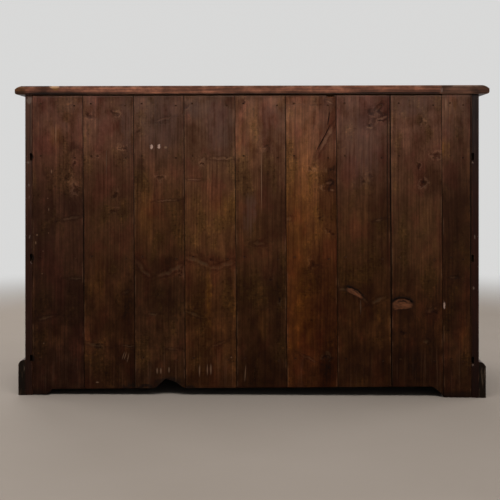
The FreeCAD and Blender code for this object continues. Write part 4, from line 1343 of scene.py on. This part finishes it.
# %% Shape of the top
TOP_LOW, TOP_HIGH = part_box("top")
TOP_EASE = 0.0016
TOP_BACK = TOP_HIGH.y - 1e-4
PLANK_JOINTS = (-0.088, 0.082)
PLANK_GROOVE = (0.0008, 0.003)
LET_IN = -0.5605
LET_IN_GROOVE = (0.0016, 0.006, 0.03)
CHIP = (0.580, TOP_HIGH.y, TOP_HIGH.z)
CHIP_SIZE = (0.026, 0.0085, 0.0085)
CHIP_RAGGED = 0.0016
CHIP_SEED = 7


def block_cutter(place, size, turn=(0, 0, 0), ragged=0.0):
    bpy.ops.mesh.primitive_cube_add(size=1, location=(0, 0, 0))
    cutter = bpy.context.object
    enter_edit()
    bpy.ops.mesh.subdivide(number_cuts=2)
    bpy.ops.transform.resize(value=size)
    if ragged:
        bpy.ops.transform.vertex_random(offset=ragged, seed=CHIP_SEED)
    leave_edit()
    cutter.location = place
    cutter.rotation_euler = turn
    bpy.ops.object.transform_apply(location=True, rotation=True, scale=True)
    return cutter


def shape_top():
    piece = copy_of("top", "planked_top")
    ease_edges(piece, TOP_EASE, lambda a, b: min(a.y, b.y) > TOP_BACK and abs(a.x - b.x) > LONG_EDGE)
    length = TOP_HIGH.x - TOP_LOW.x + 0.02
    cutters = [block_cutter((0, y, TOP_HIGH.z), (length, *PLANK_GROOVE)) for y in PLANK_JOINTS]
    cutters.append(block_cutter((LET_IN, TOP_HIGH.y, 0.5 * (TOP_LOW.z + TOP_HIGH.z)), LET_IN_GROOVE))
    cutters.append(block_cutter(CHIP, CHIP_SIZE, (math.radians(45), 0, 0), CHIP_RAGGED))
    carve(piece, cutters)
    return piece


top = shape_top()
print("top:", len(top.data.polygons), "faces")

# %% [markdown]
# The square back edge carries painted shade along its lower part: a dark band, and a darker shadow line at
# its lower arris whose line rises where the edge bows up a little. Elsewhere it is mottled and smudged. That
# is worked out in stops, as the grain is, so the stain keeps its colour.

# %% Light and dark in the top
def top_stops(found, plank, behind, ragged, x, z):
    """Grain of the top in stops, with the painted shade and the smudged places of its back edge."""
    # Painted shade: the lower part of the back edge is darkened by up to 1.35 stops.
    painted_low_shade = times(
        behind, fade(z, TOP_LOW.z + 0.0115, TOP_LOW.z + 0.003),
        fade(ring(x, -0.06, 0.20, 0.46), 0.2, 0.8, 1.0, 0.1), fade(x, -0.45, -0.38),
    )
    hollowed = maths("MAXIMUM", fade(x, -0.10, -0.50), fade(x, 0.36, 0.60, 0.0, 0.5))
    sunk = total(z, (hollowed, -0.0032))
    # Painted shadow: a dark line 2.6 stops down along the lower arris, where the gap under the top lies in
    # shade.
    under = times(
        behind, fade(sunk, TOP_LOW.z + 0.0034, TOP_LOW.z + 0.0010),
        fade(x, LET_IN, LET_IN + 0.010), fade(x, 0.674, 0.660),
    )
    mottle = times(behind, fade(found["cloud"], 0.36, 0.64, -0.42, 0.36))
    smudge = times(ring(ragged, 0.470, 0.625, 0.672), behind)
    worn_tip = times(behind, fade(x, -0.645, -0.675))
    stops = maths("SUBTRACT", wood_stops(found, "X"), 1.3)
    return total(
        stops, (plank, -0.18), (found["thread"], 1.2), (found["fleck"], 1.4), (painted_low_shade, -1.35),
        (under, -2.6), (mottle, 1.0), (smudge, -1.0), (worn_tip, -0.75),
    )


print("the top's back edge is", round((TOP_HIGH.z - TOP_LOW.z) / MM, 1), "mm high")

# %% [markdown]
# The finish follows the joints: each plank has its own stretch of grain. The back edge is paler and rawer
# than the rest, and palest along its upper arris, which is partly wear and partly a painted highlight. Its
# let-in length and one tip have colours of their own.

# %% Finish of the top
TOP_TONE = (0.066, 0.0235, 0.0098, 1)
TOP_BACK_TONE = (0.156, 0.0585, 0.0325, 1)
LET_IN_TONE = (0.066, 0.0285, 0.0165, 1)
TAN_TONE = (0.084, 0.0335, 0.0130, 1)
ARRIS_WEAR_AND_HIGHLIGHT = (0.190, 0.122, 0.086, 1)
TOP_SPOTS = (
    ((0.578, TOP_HIGH.y, TOP_HIGH.z - 0.009), (0.010, 0.006, 0.0045), (0.105, 0.046, 0.010, 1)),
    ((0.581, TOP_HIGH.y, TOP_HIGH.z - 0.002), (0.016, 0.008, 0.0060), (0.29, 0.165, 0.085, 1)),
    ((LET_IN, TOP_HIGH.y, 0.903), (0.0034, 0.004, 0.008), (0.125, 0.075, 0.058, 1)),
)
TOP_SHIFT = (0.3, 0.7, 0.2)
TOP_HEART = (0.25, 0.60, 0.2)
PLANK_SHIFT = 1.7


def top_finish():
    material = new_tree("stained_top")
    place, space = grain_space("X", TOP_SHIFT)
    x, y, z = coordinates(place)
    plank = maths("ADD", *(maths("GREATER_THAN", y, joint) for joint in PLANK_JOINTS))
    apart = add_node("ShaderNodeCombineXYZ", {2: times(plank, PLANK_SHIFT)}).outputs[0]
    found = grain(vectors("ADD", space, apart), TOP_HEART, BOARD_RINGS)
    behind = facing(ALONG["Y"])
    ragged = total(x, (found["cloud"], 0.006))
    colour = layer(behind, TOP_TONE, TOP_BACK_TONE)
    newer = times(behind, maths("LESS_THAN", x, LET_IN))
    colour = layer(newer, colour, LET_IN_TONE)
    colour = layer(times(behind, fade(ragged, 0.664, 0.680)), colour, TAN_TONE)
    colour = by_stops(colour, top_stops(found, plank, behind, ragged, x, z))
    wear = times(worn_edges(0.003), fade(found["blotch"], 0.35, 0.65, 0.1, 0.7))
    colour = layer(wear, colour, STAINED_WORN)
    # Partly wear, partly painted highlight along the upper arris of the back edge.
    arris = times(
        behind, fade(z, TOP_HIGH.z - 0.007, TOP_HIGH.z - 0.002),
        fade(found["cloud"], 0.48, 0.60, 0.0, 0.5),
    )
    colour = layer(arris, colour, ARRIS_WEAR_AND_HIGHLIGHT)
    spotted = wavering(place, "top spots")
    for middle, half_sizes, pale in TOP_SPOTS:
        away = vectors("LENGTH", seen_from(spotted, middle, half_sizes))
        colour = layer(fade(away, 1.15, 0.7, 0.0, 0.85), colour, pale)
    wood_surface(colour, found, (0.40, 0.56), 0.07)
    return material


finish_piece(top, "top", top_finish())
print("top finished, with", len(TOP_SPOTS), "spots on its back edge")

# %% [markdown]
# Every other wooden piece keeps the joiner's shape with its arrises taken off. Longer edges are bevelled by
# about a millimetre, so that joints show as fine lines and edges catch the light. Small joinery stays crisp.

# %% Eased pieces
SIDE_BACK = {
    "right": (stain(0.040, 0.42, 0.25), stain(0.0168, 0.25, 0.09), 0.48, 0.11),
    "left": (stain(0.0078, 0.52, 0.42), stain(0.0140, 0.20, 0.05), 0.16, 0.05),
}
PLINTH_BACK = (stain(0.0122, 0.40, 0.10), stain(0.0118, 0.40, 0.10), 0.95, 0.95)
GRAIN_UP = ("side", "stile", "stiles", "posts", "panel", "blocks")
GRAIN_BACK = ("sides", "guides", "knobs", "latch")
EASE = {"stained_pine": 0.0012, "bare_pine": 0.0007}
EASED_FROM = 0.03


def grain_axis(node):
    last = node.split("_")[-1]
    if node in ("left_plinth", "right_plinth") or last in GRAIN_BACK:
        return "Y"
    return "Z" if last in GRAIN_UP else "X"


def plain_finish(node):
    back = None
    if node in ("left_side", "right_side"):
        back = SIDE_BACK[node.split("_")[0]]
    if node in ("left_plinth", "right_plinth"):
        back = PLINTH_BACK
    if node_slots[node] == "stained_pine":
        return wood_finish(f"stained_{node}", grain_axis(node), STAINED, STAINED_WORN, 0.44, 0.10, back)
    return wood_finish(f"bare_{node}", grain_axis(node), BARE, BARE_WORN, 0.70, 0.12, back)


eased = []
for node in nodes:
    slot = node_slots[node]
    turned = node.endswith(("knobs", "latch"))
    if slot in EASE and not turned and node != "top" and not node.startswith("back_board"):
        piece = copy_of(node, f"eased_{node}")
        ease_edges(piece, EASE[slot], lambda a, b: (a - b).length > EASED_FROM)
        eased.append(finish_piece(piece, node, plain_finish(node)))
print("eased pieces:", len(eased), "with", sum(len(p.data.polygons) for p in eased), "faces")

# %% [markdown]
# The knobs were turned on a lathe: a collar against the wood, a slim neck, and a full round head with a pair
# of fine lines. Their outline is a list of points, each a radius and a distance out from the front, so that
# arcs can be worked out and each small chamfer keeps its size.

# %% Outline of a knob
KNOB = {
    "radius": 0.019, "out": 0.038, "waist": 0.024, "neck": 0.009,
    "collar": 0.013, "rim": 0.0043, "seat": 0.0003,
}
STEM_EASE = 0.0006
SEAT_EASE = (0.0008, 0.0009)
RIM_EASE = 0.0010
LINE_HALF = 0.0005
LINE_DEEP = 0.00055
LINE_LIP = 0.0002
LINES_AT = (9, 6)


def falling(run, drop, count):
    """Points of an arc that sets off level and falls by drop over run."""
    radius = (run ** 2 + drop ** 2) / (2 * drop)
    turn = 2 * math.atan2(drop, run)
    angles = [turn * step / count for step in range(1, count + 1)]
    return [(radius * math.sin(a), radius * (1 - math.cos(a))) for a in angles]


def knob_outline(stem, back):
    """Radius and distance out from the front, from the back of the stem to the tip of the head."""
    neck, collar, rim, seat = (KNOB[name] for name in ("neck", "collar", "rim", "seat"))
    radius, out, waist = (KNOB[name] for name in ("radius", "out", "waist"))
    path = [(0.0, -back), (stem - STEM_EASE, -back), (stem, -back + STEM_EASE), (stem, seat)]
    path += [(collar - SEAT_EASE[0], seat), (collar, seat + SEAT_EASE[1]), (collar, rim - RIM_EASE)]
    path += [(collar - RIM_EASE, rim), (neck, rim)]
    path += [(neck + rise, rim + run) for run, rise in falling(waist - rim, radius - neck, 9)]
    dome = [(r, out - drop) for r, drop in falling(radius, out - waist, 14)]
    for place in LINES_AT:
        r, at = dome[place]
        dome[place:place + 1] = [(r + LINE_HALF, at), (r, at - LINE_DEEP), (r - LINE_HALF, at + LINE_LIP)]
    return path + dome[::-1][1:] + [(0.0, out)]


print("a knob stands", round(KNOB["out"] / MM), "mm out and is", round(2 * KNOB["radius"] / MM), "mm across")

# %% [markdown]
# The outline is drawn by extruding one point along it, and the lathe is the Spin operator. The drawer knobs
# end in a spigot, and the door knobs in a spindle that carries the latch behind the door. Much handling keeps
# them darker and glossier than the rest.

# %% Turned knobs
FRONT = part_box("left_drawer_front")[0].y
SPIGOT = 0.0075
LATHE_STEPS = 36
KNOB_SMOOTH = 40
POLISHED = (0.040, 0.0135, 0.0060, 1)
POLISHED_WORN = (0.110, 0.046, 0.020, 1)


def turned_knob(name, x, z, stem, back):
    path = knob_outline(stem, back)
    bpy.ops.object.select_all(action="DESELECT")
    bpy.ops.mesh.primitive_plane_add(size=0.001, location=(0, 0, 0))
    piece = bpy.context.object
    piece.name = piece.data.name = name
    enter_edit()
    bpy.ops.mesh.select_mode(type="VERT")
    bpy.ops.mesh.select_all(action="SELECT")
    bpy.ops.mesh.merge(type="CENTER")
    bpy.ops.transform.translate(value=(path[0][0], -path[0][1], 0))
    for (r0, out0), (r1, out1) in zip(path, path[1:]):
        bpy.ops.mesh.extrude_region_move(TRANSFORM_OT_translate={"value": (r1 - r0, out0 - out1, 0)})
    bpy.ops.mesh.select_all(action="SELECT")
    bpy.ops.mesh.spin(steps=LATHE_STEPS, angle=2 * math.pi, center=(0, 0, 0), axis=(0, 1, 0))
    bpy.ops.mesh.select_all(action="SELECT")
    bpy.ops.mesh.remove_doubles(threshold=1e-5)
    bpy.ops.mesh.normals_make_consistent(inside=False)
    bpy.ops.transform.translate(value=(x, FRONT, z))
    leave_edit()
    return piece


def finish_knob(piece, node):
    finish = wood_finish(f"polished_{node}", "Y", POLISHED, POLISHED_WORN, 0.34, 0.30)
    return finish_piece(piece, node, finish, KNOB_SMOOTH)


knobs = []
for side in ("left", "middle", "right"):
    node = f"{side}_drawer_knobs"
    low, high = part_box(node)
    z = (low.z + high.z) / 2
    places = (low.x + KNOB["radius"], high.x - KNOB["radius"])
    pair = [turned_knob(f"turned_{node}", x, z, SPIGOT, high.y - FRONT) for x in places]
    knobs.append(finish_knob(join_pieces(pair), node))
print("drawer knobs:", [len(p.data.polygons) for p in knobs])

# %% [markdown]
# A latch is a block of hardwood on the inner end of the spindle, rounded at both ends by bevelling its
# upright corners.

# %% Latches
SPINDLE = 0.006
KNOB_HEIGHT = 0.460
TONGUE_WIDE = 0.018
TONGUE_THICK = 0.008
TONGUE_ABOVE = 0.013
TONGUE_ROUND = 0.004
TONGUE_EASE = 0.0008


def latch_tongue(x, z, y):
    size = (TONGUE_WIDE, TONGUE_THICK, z[1] - z[0])
    piece = block(size, (x, y, (z[0] + z[1]) / 2))
    ease_edges(piece, TONGUE_ROUND, lambda a, b: abs(a.y - b.y) > 0.9 * TONGUE_THICK, 3)
    ease_edges(piece, TONGUE_EASE, lambda a, b: abs(a.y - b.y) < 1e-5)
    return piece


latches = []
for side in ("left", "middle", "right"):
    node = f"{side}_door_latch"
    low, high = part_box(node)
    x = (low.x + high.x) / 2
    knob = turned_knob(f"turned_{node}", x, KNOB_HEIGHT, SPINDLE, high.y - FRONT)
    tongue = latch_tongue(x, (low.z, KNOB_HEIGHT + TONGUE_ABOVE), high.y - TONGUE_THICK / 2)
    latches.append(finish_knob(join_pieces([knob, tongue]), node))
print("latches:", [len(p.data.polygons) for p in latches])

# %% [markdown]
# Last come the size of the dressed piece beside the size of the bare frame.

# %% Sizes
new_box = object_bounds()
for label, box in (("size", new_box), ("frame", cad_box)):
    print(label, [round(v, 4) for v in box[1] - box[0]])
